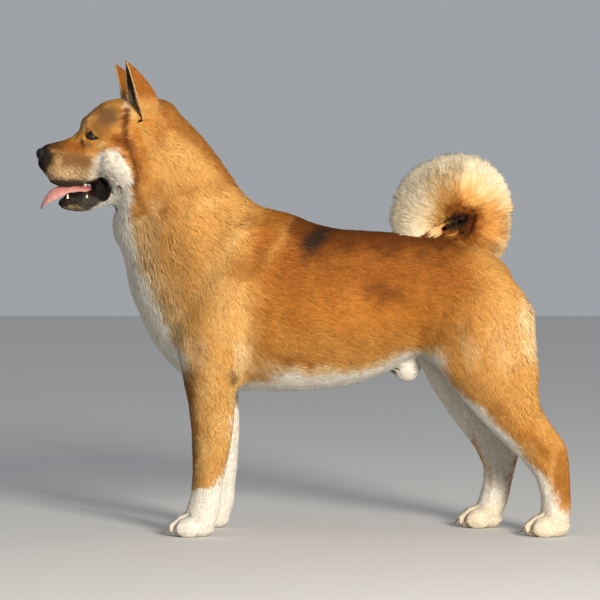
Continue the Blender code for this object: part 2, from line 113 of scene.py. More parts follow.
def yawed(vectors, angle):
    c, s = math.cos(angle), math.sin(angle)
    return vectors @ np.array(((c, -s, 0), (s, c, 0), (0, 0, 1))).T


def head_turned(points):
    """Points of the straight head as they lie once it is yawed."""
    return yawed(np.asarray(points) - HEAD_PIVOT, HEAD_YAW) + HEAD_PIVOT


def head_straight(points):
    return yawed(np.asarray(points) - HEAD_PIVOT, -HEAD_YAW) + HEAD_PIVOT


def chunks(points):
    """Slices of the points, each short enough to measure against all the guides."""
    for start in range(0, len(points), CHUNK):
        yield slice(start, start + CHUNK)


def off_line(points, line):
    """How far each point is from a line of straight stretches."""
    gap = np.full(len(points), 1.0)
    for a, b in zip(line, line[1:]):
        t = np.clip(((points - a) @ (b - a)) / ((b - a) @ (b - a)), 0, 1)
        gap = np.minimum(gap, np.linalg.norm(points - a - t[:, None] * (b - a), axis=1))
    return gap


def read(items, field, width=3, kind=np.float32):
    out = np.empty(len(items) * width, kind)
    items.foreach_get(field, out)
    return out.reshape(-1, width) if width > 1 else out


def places(mesh):
    return read(mesh.vertices, "co").astype(float)


def normals(mesh):
    return read(mesh.vertex_normals, "vector").astype(float)


def set_places(mesh, points):
    mesh.vertices.foreach_set("co", points.astype(np.float32).ravel())
    mesh.update()


def new_object(mesh, name):
    obj = bpy.data.objects.new(name, mesh)
    bpy.context.scene.collection.objects.link(obj)
    return obj


def mesh_from(bm, name):
    """The mesh that bm holds."""
    mesh = bpy.data.meshes.new(name)
    bm.to_mesh(mesh)
    bm.free()
    return mesh


def modified(obj, kind, **settings):
    """Gives the object one modifier's result as its mesh."""
    made = obj.modifiers.new(kind, kind)
    for name, value in settings.items():
        setattr(made, name, value)
    graph = bpy.context.evaluated_depsgraph_get()
    mesh = bpy.data.meshes.new_from_object(obj.evaluated_get(graph), depsgraph=graph)
    obj.modifiers.clear()
    obj.data = mesh


def modified_where(weights, obj, kind, **settings):
    """The same, by a weight for each vertex, in 20 steps."""
    group = obj.vertex_groups.new(name="weights")
    steps = np.round(np.clip(weights, 0, 1) * 20).astype(int)
    for step in range(1, 21):
        group.add(np.nonzero(steps == step)[0].tolist(), step / 20, "REPLACE")
    modified(obj, kind, vertex_group=group.name, **settings)
    obj.vertex_groups.clear()


def join_rings(bm, rings):
    """The faces between each ring of vertices and the next, and over both ends."""
    made = []
    for a, b in zip(rings, rings[1:]):
        for k in range(len(a)):
            j = (k + 1) % len(a)
            made.append(bm.faces.new((a[k], a[j], b[j], b[k])))
    made.append(bm.faces.new(rings[0][::-1]))
    made.append(bm.faces.new(rings[-1]))
    return made


def tube_into(bm, path, radii, sides):
    """A closed round tube along the path, added to bm."""
    path = np.asarray(path, float)
    rings = []
    for k, point in enumerate(path):
        ahead = unit(path[min(k + 1, len(path) - 1)] - path[max(k - 1, 0)])
        side = unit(np.cross(ahead, (0.0, 1.0, 0.0) if abs(ahead[1]) < 0.9 else (1.0, 0.0, 0.0)))
        other = np.cross(ahead, side)
        ring = []
        for turn in np.linspace(0, 2 * math.pi, sides, endpoint=False):
            across = side * math.cos(turn) + other * math.sin(turn)
            ring.append(bm.verts.new(point + across * radii[k]))
        rings.append(ring)
    join_rings(bm, rings)


# ---------------------------------------------------------------- how the coat lies

# Place, lie, length and lift in degrees of the coat on the straight head's right half
HEAD_GUIDES = [
    ((-0.525, 0.000, 0.803), (1.0, 0.0, 0.1), 0.005, 8),
    ((-0.480, 0.000, 0.813), (1.0, 0.0, 0.3), 0.007, 8),
    ((-0.510, 0.030, 0.765), (1.0, 0.2, -0.15), 0.006, 9),
    ((-0.470, 0.042, 0.770), (1.0, 0.2, -0.15), 0.009, 10),
    ((-0.500, 0.028, 0.730), (0.8, 0.1, -0.6), 0.007, 12),
    ((-0.455, 0.040, 0.735), (0.9, 0.1, -0.4), 0.009, 12),
    ((-0.460, 0.012, 0.838), (0.5, 0.1, 0.9), 0.008, 10),
    ((-0.445, 0.035, 0.835), (0.6, 0.3, 0.7), 0.008, 12),
    ((-0.428, 0.020, 0.885), (0.9, 0.0, 0.5), 0.011, 12),
    ((-0.376, 0.020, 0.897), (1.0, 0.1, 0.0), 0.016, 14),
    ((-0.436, 0.055, 0.795), (1.0, 0.2, -0.2), 0.010, 11),
    ((-0.416, 0.065, 0.840), (1.0, 0.3, 0.1), 0.013, 11),
    ((-0.386, 0.088, 0.780), (0.9, 0.1, -0.4), 0.022, 17),
    ((-0.386, 0.072, 0.715), (0.7, 0.1, -0.7), 0.026, 18),
    ((-0.345, 0.090, 0.760), (0.7, 0.2, -0.7), 0.032, 20),
    ((-0.470, 0.024, 0.675), (1.0, 0.1, -0.1), 0.006, 10),
    ((-0.445, 0.000, 0.662), (1.0, 0.0, -0.05), 0.008, 10),
    ((-0.365, 0.065, 0.872), (0.6, 0.3, 0.7), 0.015, 16),
    ((-0.310, 0.060, 0.885), (0.8, 0.3, -0.4), 0.024, 16),
    ((-0.376, 0.048, 0.915), (-0.2, 0.1, 1.0), 0.009, 10),
    ((-0.340, 0.060, 0.920), (-0.3, 0.1, 1.0), 0.010, 10),
    ((-0.378, 0.075, 0.955), (-0.3, 0.1, 1.0), 0.007, 9),
    ((-0.320, 0.055, 0.895), (0.0, 0.1, 1.0), 0.013, 11),
]

# The same for the neck, the trunk and the tops of the legs
BODY_GUIDES = [
    ((-0.300, 0.000, 0.900), (1.0, 0.0, -0.45), 0.034, 16),
    ((-0.235, 0.020, 0.850), (0.8, 0.0, -0.8), 0.044, 18),
    ((-0.300, 0.085, 0.820), (0.6, 0.1, -0.8), 0.036, 18),
    ((-0.270, 0.095, 0.730), (0.5, 0.1, -0.9), 0.044, 20),
    ((-0.370, 0.030, 0.650), (0.2, 0.0, -1.0), 0.040, 20),
    ((-0.365, 0.030, 0.560), (0.2, 0.0, -1.0), 0.046, 20),
    ((-0.300, 0.090, 0.600), (0.4, 0.1, -0.9), 0.046, 20),
    ((-0.200, 0.100, 0.660), (0.7, 0.1, -0.8), 0.044, 17),
    ((-0.120, 0.020, 0.710), (0.9, 0.0, -0.5), 0.044, 15),
    ((-0.330, 0.040, 0.460), (0.35, 0.0, -0.95), 0.044, 18),
    ((-0.270, 0.030, 0.360), (0.7, 0.0, -0.6), 0.038, 17),
    ((-0.170, 0.120, 0.550), (0.55, 0.0, -0.85), 0.036, 14),
    ((-0.190, 0.135, 0.420), (0.3, 0.0, -1.0), 0.028, 13),
    ((-0.020, 0.130, 0.500), (1.0, 0.0, -0.40), 0.038, 13),
    ((0.050, 0.020, 0.630), (1.0, 0.0, 0.0), 0.040, 13),
    ((-0.060, 0.060, 0.640), (1.0, 0.0, -0.2), 0.042, 13),
    ((0.000, 0.115, 0.370), (1.0, 0.0, -0.30), 0.036, 14),
    ((0.050, 0.020, 0.295), (1.0, 0.0, -0.12), 0.032, 14),
    ((-0.130, 0.030, 0.310), (1.0, 0.0, -0.20), 0.032, 14),
    ((0.180, 0.115, 0.500), (1.0, 0.0, -0.35), 0.037, 13),
    ((0.220, 0.020, 0.615), (1.0, 0.0, -0.05), 0.040, 14),
    ((0.230, 0.100, 0.420), (0.9, 0.0, -0.50), 0.034, 14),
    ((0.200, 0.030, 0.320), (1.0, 0.0, -0.15), 0.024, 14),
    ((0.350, 0.030, 0.590), (0.8, 0.0, -0.5), 0.036, 15),
    ((0.360, 0.115, 0.500), (0.6, 0.0, -0.8), 0.034, 14),
    ((0.455, 0.060, 0.500), (0.2, 0.0, -1.0), 0.044, 22),
    ((0.370, 0.145, 0.400), (0.35, 0.0, -0.95), 0.032, 13),
    ((0.470, 0.090, 0.390), (0.15, 0.0, -1.0), 0.046, 21),
    ((0.265, 0.100, 0.360), (0.5, 0.0, -0.9), 0.026, 13),
    ((0.370, 0.035, 0.400), (0.3, 0.0, -1.0), 0.024, 13),
]


def leg_guides(word):
    """The same down one side's legs, placed by shares of their nodes' boxes."""
    rows = [
        (f"foreleg_{word}_lower", (0.90, 0.5, 0.92), (0.2, 0.0, -1.0), 0.026, 16),
        (f"foreleg_{word}_lower", (0.40, 0.5, 0.70), (0.05, 0.0, -1.0), 0.018, 12),
        (f"foreleg_{word}_lower", (0.35, 0.5, 0.30), (0.05, 0.0, -1.0), 0.015, 12),
        (f"foreleg_{word}_lower", (0.75, 0.5, 0.35), (0.15, 0.0, -1.0), 0.022, 17),
        (f"forepaw_{word}", (0.60, 0.5, 0.85), (0.0, 0.0, -1.0), 0.012, 12),
        (f"forepaw_{word}", (0.35, 0.5, 0.55), (-0.6, 0.0, -0.8), 0.009, 12),
        (f"forepaw_{word}", (0.10, 0.5, 0.25), (-1.0, 0.0, -0.5), 0.007, 12),
        (f"forepaw_{word}", (0.85, 0.5, 0.15), (0.2, 0.0, -1.0), 0.008, 12),
        (f"shank_{word}", (0.30, 0.5, 0.75), (0.5, 0.0, -0.85), 0.020, 13),
        (f"shank_{word}", (0.80, 0.5, 0.85), (0.2, 0.0, -1.0), 0.034, 18),
        (f"shank_{word}", (0.75, 0.5, 0.30), (0.5, 0.0, -0.85), 0.017, 13),
        (f"hindfoot_{word}", (0.75, 0.5, 0.85), (0.1, 0.0, -1.0), 0.014, 12),
        (f"hindfoot_{word}", (0.70, 0.5, 0.50), (0.0, 0.0, -1.0), 0.012, 12),
        (f"hindfoot_{word}", (0.40, 0.5, 0.28), (-0.6, 0.0, -0.8), 0.009, 12),
        (f"hindfoot_{word}", (0.10, 0.5, 0.15), (-1.0, 0.0, -0.5), 0.007, 12),
    ]
    made = []
    for node, share, lie, length, lift in rows:
        low, high = (np.array(corner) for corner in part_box(node))
        made.append((low + (high - low) * np.array(share), np.array(lie), length, lift))
    return made


def all_guides():
    """Every guide on both sides, in the frame: places, lies, and length with lift in radians."""
    made = []
    for word, side in SIDES.items():
        flip = np.array((1.0, side, 1.0))
        for place, lie, *sizes in HEAD_GUIDES:
            made.append((head_turned(place * flip), yawed(lie * flip, HEAD_YAW), *sizes))
        for place, lie, *sizes in BODY_GUIDES:
            made.append((place * flip, lie * flip, *sizes))
        made += leg_guides(word)
    at = np.array([row[0] for row in made])
    lies = unit(np.array([row[1] for row in made], float))
    sizes = np.array([(row[2], math.radians(row[3])) for row in made])
    return at, lies, sizes


GUIDES = all_guides()
GUIDE_BLEND = 0.012  # softens the pull of a guide that is nearer than this


def coat_field(points):
    """The lie, length and depth of the coat at each point, blended from the guides near it."""
    at, lies, sizes = GUIDES
    out = np.empty((len(points), 5))
    for chunk in chunks(points):
        gap2 = ((points[chunk][:, None, :] - at[None]) ** 2).sum(-1)
        weights = 1.0 / (gap2 + GUIDE_BLEND**2) ** 2
        weights /= weights.sum(1, keepdims=True)
        out[chunk, :3] = weights @ lies
        out[chunk, 3:] = weights @ sizes
    length = out[:, 3]
    return unit(out[:, :3]), length, 0.95 * length * np.sin(out[:, 4])


# The tail's rim seen from the side: angle, reach from the curl's centre, half thickness
TAIL_RIM = np.array([
    (-60, 0.120, 0.036), (-35, 0.118, 0.043), (-14, 0.115, 0.050), (5, 0.116, 0.057),
    (25, 0.124, 0.062), (45, 0.135, 0.064), (65, 0.144, 0.064), (85, 0.146, 0.063),
    (105, 0.144, 0.061), (125, 0.145, 0.057), (142, 0.145, 0.051), (158, 0.142, 0.044),
    (175, 0.143, 0.038), (190, 0.137, 0.032), (206, 0.110, 0.026), (225, 0.080, 0.020),
    (300, 0.060, 0.016),
])
TAIL_DEPTH = 0.034  # how far the fur reaches past the core, at the rim
TAIL_SKIN = 0.013  # and on the flat sides
CORE_RINGS = 42
CORE_ROOT_RINGS = 9  # those at the root, which belong to the rump


def tail_frame(points):
    """Seen from the curl's centre: direction out, reach, angle, and the rim's reach and half thickness."""
    out = points - TAIL_CENTRE
    out[:, 1] = 0
    reach = np.linalg.norm(out, axis=1)
    angle = np.degrees(np.arctan2(out[:, 2], out[:, 0])) % 360
    angle = np.where(angle > 300, angle - 360, angle)
    fringe = np.interp(angle, TAIL_RIM[:, 0], TAIL_RIM[:, 1])
    half = np.interp(angle, TAIL_RIM[:, 0], TAIL_RIM[:, 2])
    return unit(out), reach, angle, fringe, half


def core_path():
    """The middle of the tail's fleshy core, its radius, and how much flatter it is than round."""
    degrees = np.linspace(-88, 198, CORE_RINGS)
    angles = np.radians(degrees)
    share = np.linspace(0, 1, CORE_RINGS)
    outer = np.interp(degrees, TAIL_RIM[:, 0], TAIL_RIM[:, 1]) - TAIL_DEPTH
    inner = 0.009 + 0.017 * np.cos(angles - math.radians(20)) ** 2
    reach = (outer + inner) / 2
    radius = (outer - inner) / 2 * (1 - 0.35 * share**6)
    flat = np.minimum((np.interp(degrees, TAIL_RIM[:, 0], TAIL_RIM[:, 2]) - TAIL_SKIN) / radius, 1.0)
    path = TAIL_CENTRE + np.stack((np.cos(angles) * reach, 0 * share, np.sin(angles) * reach), 1)
    return path, radius, flat


def in_tail(points):
    """1 on the tail's core and 0 on the body, from how near the core's surface a point is."""
    path, radius, flat = (values[CORE_ROOT_RINGS:] for values in core_path())
    out = np.empty(len(points))
    for chunk in chunks(points):
        gap = points[chunk][:, None] - path[None]
        gap[:, :, 1] /= flat
        near = (np.sqrt((gap**2).sum(-1)) - radius).min(1)
        out[chunk] = smooth(0.009, 0.003, near)
    return out


def on_head(points):
    """1 on the face and 0 from the cheek's back edge on."""
    p = head_straight(points)
    return smooth(-0.325, -0.350, p[:, 0]) * smooth(0.652, 0.664, p[:, 2] - 0.30 * (p[:, 0] + 0.37))


# ---------------------------------------------------------------- the markings


def rgb(r, g, b):
    return np.array((r, g, b))


GOLD = rgb(0.630, 0.330, 0.092)
PALE_GOLD = rgb(0.760, 0.480, 0.180)
ORANGE = rgb(0.505, 0.200, 0.031)
RUST = rgb(0.315, 0.100, 0.014)
BROWN = rgb(0.130, 0.036, 0.006)
CREAM = rgb(0.780, 0.570, 0.310)
WHITE = rgb(0.880, 0.820, 0.720)
GREY = rgb(0.260, 0.185, 0.115)
GRIZZLE = rgb(0.185, 0.095, 0.036)
BLACK = rgb(0.020, 0.014, 0.011)
# The gum's colour, darkened with painted shade since it lies inside the mouth
GUM_IN_SHADE = rgb(0.110, 0.018, 0.014)


def mix(colours, other, share):
    """The colours, with the other's share of each mixed in."""
    return colours + (other - colours) * np.clip(share, 0, 1)[..., None]


def patch(across, up, place, size, turn=0.0, edge=0.5):
    """1 inside a turned oval on the side view, fading to 0 at its rim."""
    c, s = math.cos(math.radians(turn)), math.sin(math.radians(turn))
    dx = across - place[0]
    dz = up - place[1]
    u = (dx * c + dz * s) / size[0]
    v = (-dx * s + dz * c) / size[1]
    return smooth(1.0, 1.0 - edge, np.sqrt(u * u + v * v))


def patched(colours, patches, across, up, edge):
    """The colours with a list of patches mixed over them in turn."""
    for colour, strength, *oval in patches:
        colours = mix(colours, colour, strength * patch(across, up, *oval, edge))
    return colours


# Patches on both sides of the trunk: colour, strength, place (x, z), half sizes, turn in degrees
TRUNK_PATCHES = [
    (RUST, 0.60, (-0.045, 0.520), (0.060, 0.120), 12),
    (BROWN, 0.60, (0.030, 0.598), (0.110, 0.050), 10),
    (BLACK, 0.88, (0.006, 0.606), (0.062, 0.030), 30),
    (RUST, 0.50, (0.150, 0.500), (0.090, 0.045), -20),
    (BROWN, 0.60, (0.152, 0.503), (0.062, 0.027), -24),
    (RUST, 0.65, (0.243, 0.455), (0.020, 0.062), 8),
    (RUST, 0.60, (-0.030, 0.362), (0.100, 0.022), 4),
    (BROWN, 0.35, (-0.045, 0.365), (0.020, 0.016), 60),
    (RUST, 0.85, (-0.095, 0.612), (0.028, 0.085), -8),
    (GOLD, 0.40, (-0.068, 0.600), (0.014, 0.080), -22),
    (RUST, 0.60, (-0.122, 0.556), (0.052, 0.036), 18),
    (RUST, 0.50, (-0.130, 0.640), (0.030, 0.040), 0),
    (PALE_GOLD, 0.70, (-0.150, 0.610), (0.020, 0.050), -28),
    (PALE_GOLD, 0.35, (-0.195, 0.540), (0.035, 0.090), -25),
    (PALE_GOLD, 0.20, (-0.262, 0.770), (0.055, 0.060), 0),
    (RUST, 0.40, (-0.178, 0.735), (0.026, 0.055), -40),
    (RUST, 0.45, (-0.305, 0.700), (0.030, 0.050), 10),
    (PALE_GOLD, 0.55, (-0.215, 0.685), (0.050, 0.010), 22),
    (RUST, 0.60, (-0.300, 0.835), (0.018, 0.056), -8),
    (RUST, 0.55, (-0.285, 0.672), (0.026, 0.022), 0),
    (PALE_GOLD, 0.45, (-0.165, 0.470), (0.060, 0.120), 0),
    (RUST, 0.40, (-0.250, 0.715), (0.060, 0.012), 20),
    (PALE_GOLD, 0.60, (-0.125, 0.430), (0.022, 0.100), 3),
    (mix(PALE_GOLD, GREY, 0.12), 0.35, (0.405, 0.430), (0.065, 0.120), -8),
    (CREAM, 0.22, (0.405, 0.380), (0.030, 0.070), 0),
    (RUST, 0.35, (0.330, 0.520), (0.060, 0.040), 0),
    (GRIZZLE, 0.35, (0.318, 0.425), (0.030, 0.060), 10),
    (CREAM, 0.35, (0.330, 0.395), (0.016, 0.060), 20),
    (RUST, 0.45, (0.400, 0.262), (0.050, 0.030), -40),
]

# The back's line and the top edge of the belly's white, as pairs of x and height. The other edges of
# the white are pairs of height and x: the bib's rear edge, and those down the hind legs and forelegs.
BACK_LINE = ((-0.100, 0.655), (0.020, 0.618), (0.120, 0.607), (0.300, 0.603))
BELLY_EDGE = ((-0.150, 0.366), (-0.060, 0.346), (0.000, 0.337), (0.100, 0.337), (0.200, 0.371),
              (0.260, 0.385))
BIB_EDGE = ((0.341, -0.222), (0.381, -0.245), (0.432, -0.275), (0.503, -0.306), (0.564, -0.328),
            (0.625, -0.348), (0.680, -0.362))
HIND_EDGE = ((0.030, 0.560), (0.060, 0.520), (0.088, 0.513), (0.118, 0.501), (0.148, 0.474), (0.179, 0.442),
             (0.220, 0.411), (0.270, 0.362), (0.310, 0.312), (0.351, 0.274), (0.400, 0.205))
FORE_EDGE = ((0.097, -0.235), (0.108, -0.182), (0.128, -0.168), (0.148, -0.160), (0.179, -0.147),
             (0.250, -0.143), (0.300, -0.139), (0.330, -0.120))
HIND_STRIDE = 0.110  # how much further forward the right hind foot stands


def edge_at(value, pairs):
    """The second number of the pairs, where the first is the value."""
    return np.interp(value, *np.transpose(pairs))


def trunk_colours(points):
    """Orange and gold with a brown saddle, grizzled down the throat, and white beneath."""
    x, y, z = points.T
    side = np.abs(y)
    rough = waves(points, 0.06, 3)
    fine = waves(points, 0.016, 4)
    blur = 0.005 * fine + 0.008 * rough
    colours = mix(ORANGE, GOLD, smooth(0.46, 0.36, z + 2 * blur) * 0.6)
    colours = mix(colours, GOLD, smooth(-0.06, -0.16, x + 2 * blur))
    colours = mix(colours, GOLD, smooth(0.26, 0.38, x + 2 * blur) * 0.75)
    # Darker upwards to a brown saddle along the back
    saddle = smooth(-0.085, -0.035, x + blur) * smooth(0.345, 0.275, x + 0.3 * (z - 0.6) + blur)
    below = edge_at(x, BACK_LINE) - z
    mottles = waves(points * np.array((0.4, 1.0, 1.0)), 0.010, 22)
    colours = mix(colours, RUST, 0.88 * saddle * smooth(0.160, 0.055, below - 2 * blur))
    colours = mix(colours, BROWN, 0.92 * saddle * smooth(0.056, 0.006, below - 1.5 * blur))
    colours = mix(colours, BROWN, 0.40 * saddle * smooth(0.24, 0.06, below) * smooth(0.0, 0.9, mottles))
    nape = smooth(0.030, 0.0, 0.733 - 0.93 * (x + 0.15) - z + blur) * smooth(-0.34, -0.30, x) * (x < -0.05)
    colours = mix(colours, RUST, 0.75 * nape)
    colours = patched(colours, TRUNK_PATCHES, x + blur, z + blur, 0.8)
    # Grizzled hair down the throat and the front of the chest
    edge = edge_at(z, BIB_EDGE)
    throat = smooth(edge + 0.075, edge + 0.015, x + 1.5 * blur) * smooth(0.715, 0.68, z)
    streaks = waves(points * np.array((1.0, 1.0, 0.45)), 0.014, 21)
    colours = mix(colours, CREAM, 0.60 * throat)
    colours = mix(colours, GRIZZLE, 0.60 * throat * smooth(0.0, 0.9, streaks))
    # White: the bib, the belly, the groin and the seat of the trousers
    bib = smooth(edge + 0.010, edge - 0.010, x + 0.7 * blur) * smooth(0.715, 0.69, z) * smooth(0.29, 0.31, z)
    bib = np.maximum(bib, smooth(0.070, 0.035, side + blur) * smooth(-0.18, -0.23, x) * smooth(0.69, 0.66, z))
    colours = mix(colours, WHITE, bib)
    line = edge_at(x, BELLY_EDGE) + 0.5 * blur
    here = smooth(-0.150, -0.132, x) * smooth(0.300, 0.262, x + 0.5 * blur)
    colours = mix(colours, CREAM, 0.75 * smooth(line + 0.022, line + 0.004, z) * here)
    colours = mix(colours, WHITE, smooth(line + 0.008, line - 0.012, z) * here)
    elbow = smooth(-0.102, -0.125, x + blur) * smooth(0.425, 0.385, z) * smooth(-0.148, -0.138, x)
    colours = mix(colours, CREAM, 0.8 * elbow)
    seat = smooth(0.420, 0.455, x + 0.35 * np.maximum(z - 0.50, 0) + blur)
    seat = seat * smooth(0.350, 0.410, z) * smooth(0.615, 0.58, z)
    colours = mix(colours, CREAM, 0.9 * seat)
    return mix(colours, WHITE, 0.8 * smooth(0.055, 0.025, side) * seat)


def toe_grooves(points):
    """1 in the grooves between the toes, 0 elsewhere."""
    feet = {}
    for name in NODES:
        if "claw" in name and not name.startswith("dewclaw"):
            low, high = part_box(name)
            feet.setdefault(name[:-2], []).append(((low[1] + high[1]) / 2, high[0]))
    x, y, z = points.T
    near = np.zeros(len(points))
    for toes in feet.values():
        toes.sort()
        for (left, left_x), (right, right_x) in zip(toes, toes[1:]):
            front = (left_x + right_x) / 2
            run = smooth(front + 0.036, front + 0.012, x) * smooth(front - 0.035, front - 0.025, x)
            near = np.maximum(near, run * np.exp(-((y - (left + right) / 2) / 0.0028) ** 2))
    return near * smooth(0.060, 0.045, z)


def leg_colours(points, colours):
    """Tan outside and white inside, along the hind leg's front edge, and on the feet."""
    x, y, z = points.T
    side = np.abs(y)
    blur = 0.005 * waves(points, 0.009, 6) + 0.004 * waves(points, 0.04, 7)
    tone = waves(points, 0.05, 8)
    # Forelegs
    fore = smooth(-0.05, -0.09, x)
    tan = mix(GOLD, PALE_GOLD, 0.35 + 0.4 * tone)
    # Painted shade: the forelegs' front edges darkened towards brown, on the side turned from the light
    dark = smooth(-0.205, -0.226, x + 0.05 * (z - 0.20) + blur) * smooth(0.08, 0.15, z)
    tan = mix(tan, BROWN, 0.70 * dark)
    tan = mix(tan, GRIZZLE, 0.8 * patch(x + blur, z, (-0.146, 0.338), (0.018, 0.022)))
    between = smooth(0.085, 0.062, side + blur)
    colours = mix(colours, tan, fore * smooth(0.385, 0.335, z + 2 * blur) * (1 - between))
    colours = mix(colours, WHITE, fore * between * smooth(0.44, 0.40, z + blur))
    edge = edge_at(z, FORE_EDGE)
    white = smooth(-0.004, 0.003, x - edge + blur) * smooth(0.33, 0.30, z)
    white = np.maximum(white, smooth(0.106, 0.090, z + blur))
    white = np.maximum(white, smooth(0.088, 0.072, side + blur) * smooth(0.33, 0.28, z))
    colours = mix(colours, WHITE, white * fore)
    # Hind legs
    hind = smooth(0.16, 0.20, x)
    along = x + smooth(-0.01, 0.01, y) * HIND_STRIDE * smooth(0.38, 0.10, z)
    tan = mix(GOLD, ORANGE, 0.40 + 0.4 * tone)
    rear = smooth(0.508, 0.522, along + blur) * smooth(0.195, 0.175, z) * smooth(0.06, 0.09, z)
    tan = mix(tan, RUST, 0.65 * rear)
    tan = mix(tan, RUST, 0.55 * patch(along, z, (0.478, 0.190), (0.012, 0.050), 35))
    colours = mix(colours, tan, hind * smooth(0.29, 0.20, z))
    white = smooth(0.010, -0.010, along - edge_at(z, HIND_EDGE) + blur) * smooth(0.40, 0.35, z)
    white = np.maximum(white, smooth(0.088, 0.070, side + blur) * smooth(0.37, 0.31, z))
    colours = mix(colours, WHITE, white * hind)
    colours = mix(colours, mix(CREAM, WHITE, 0.6), hind * smooth(0.070, 0.035, z + blur))
    # Painted shade, grey, in the grooves between the toes
    return mix(colours, GREY, 0.60 * toe_grooves(points))


# The same on both sides of the straight head
FACE_PATCHES = [
    (CREAM, 0.60, (-0.440, 0.872), (0.012, 0.030), -28),
    (GRIZZLE, 1.00, (-0.412, 0.853), (0.034, 0.030), 0),
    (RUST, 1.00, (-0.480, 0.796), (0.044, 0.022), -12),
    (RUST, 0.90, (-0.392, 0.808), (0.036, 0.022), -12),
    (BROWN, 0.75, (-0.388, 0.803), (0.026, 0.015), -30),
    (RUST, 0.80, (-0.366, 0.780), (0.018, 0.045), 20),
    (GRIZZLE, 0.60, (-0.430, 0.835), (0.030, 0.040), 0),
    (PALE_GOLD, 0.85, (-0.368, 0.862), (0.018, 0.028), 0),
    (CREAM, 0.85, (-0.376, 0.874), (0.014, 0.028), -8),
    (PALE_GOLD, 0.60, (-0.448, 0.776), (0.014, 0.012), 0),
    (GRIZZLE, 0.75, (-0.452, 0.798), (0.014, 0.007), 0),
    (CREAM, 0.40, (-0.428, 0.798), (0.012, 0.008), 0),
]


def face_white(x, z, blur):
    """The pale cheek: from under the eye back to the crease, and down to the throat."""
    edge = np.interp(z, (0.680, 0.720, 0.753, 0.7835), (-0.3660, -0.3690, -0.3780, -0.3950))
    back = smooth(0.004, -0.006, x - edge + 1.3 * blur)
    top = smooth(0.797, 0.779, z + blur + 0.2 * np.maximum(-0.40 - x, 0))
    front = smooth(-0.453, -0.428, x - 0.25 * (z - 0.755) + 1.6 * blur)
    return back * top * front


def mouth_corner(x, side, z):
    """1 on the black skin round the corner of the open mouth."""
    ring = patch(x, z, (-0.4190, 0.7080), (0.0185, 0.0290), 8, 0.15)
    return ring * smooth(0.020, 0.026, side)


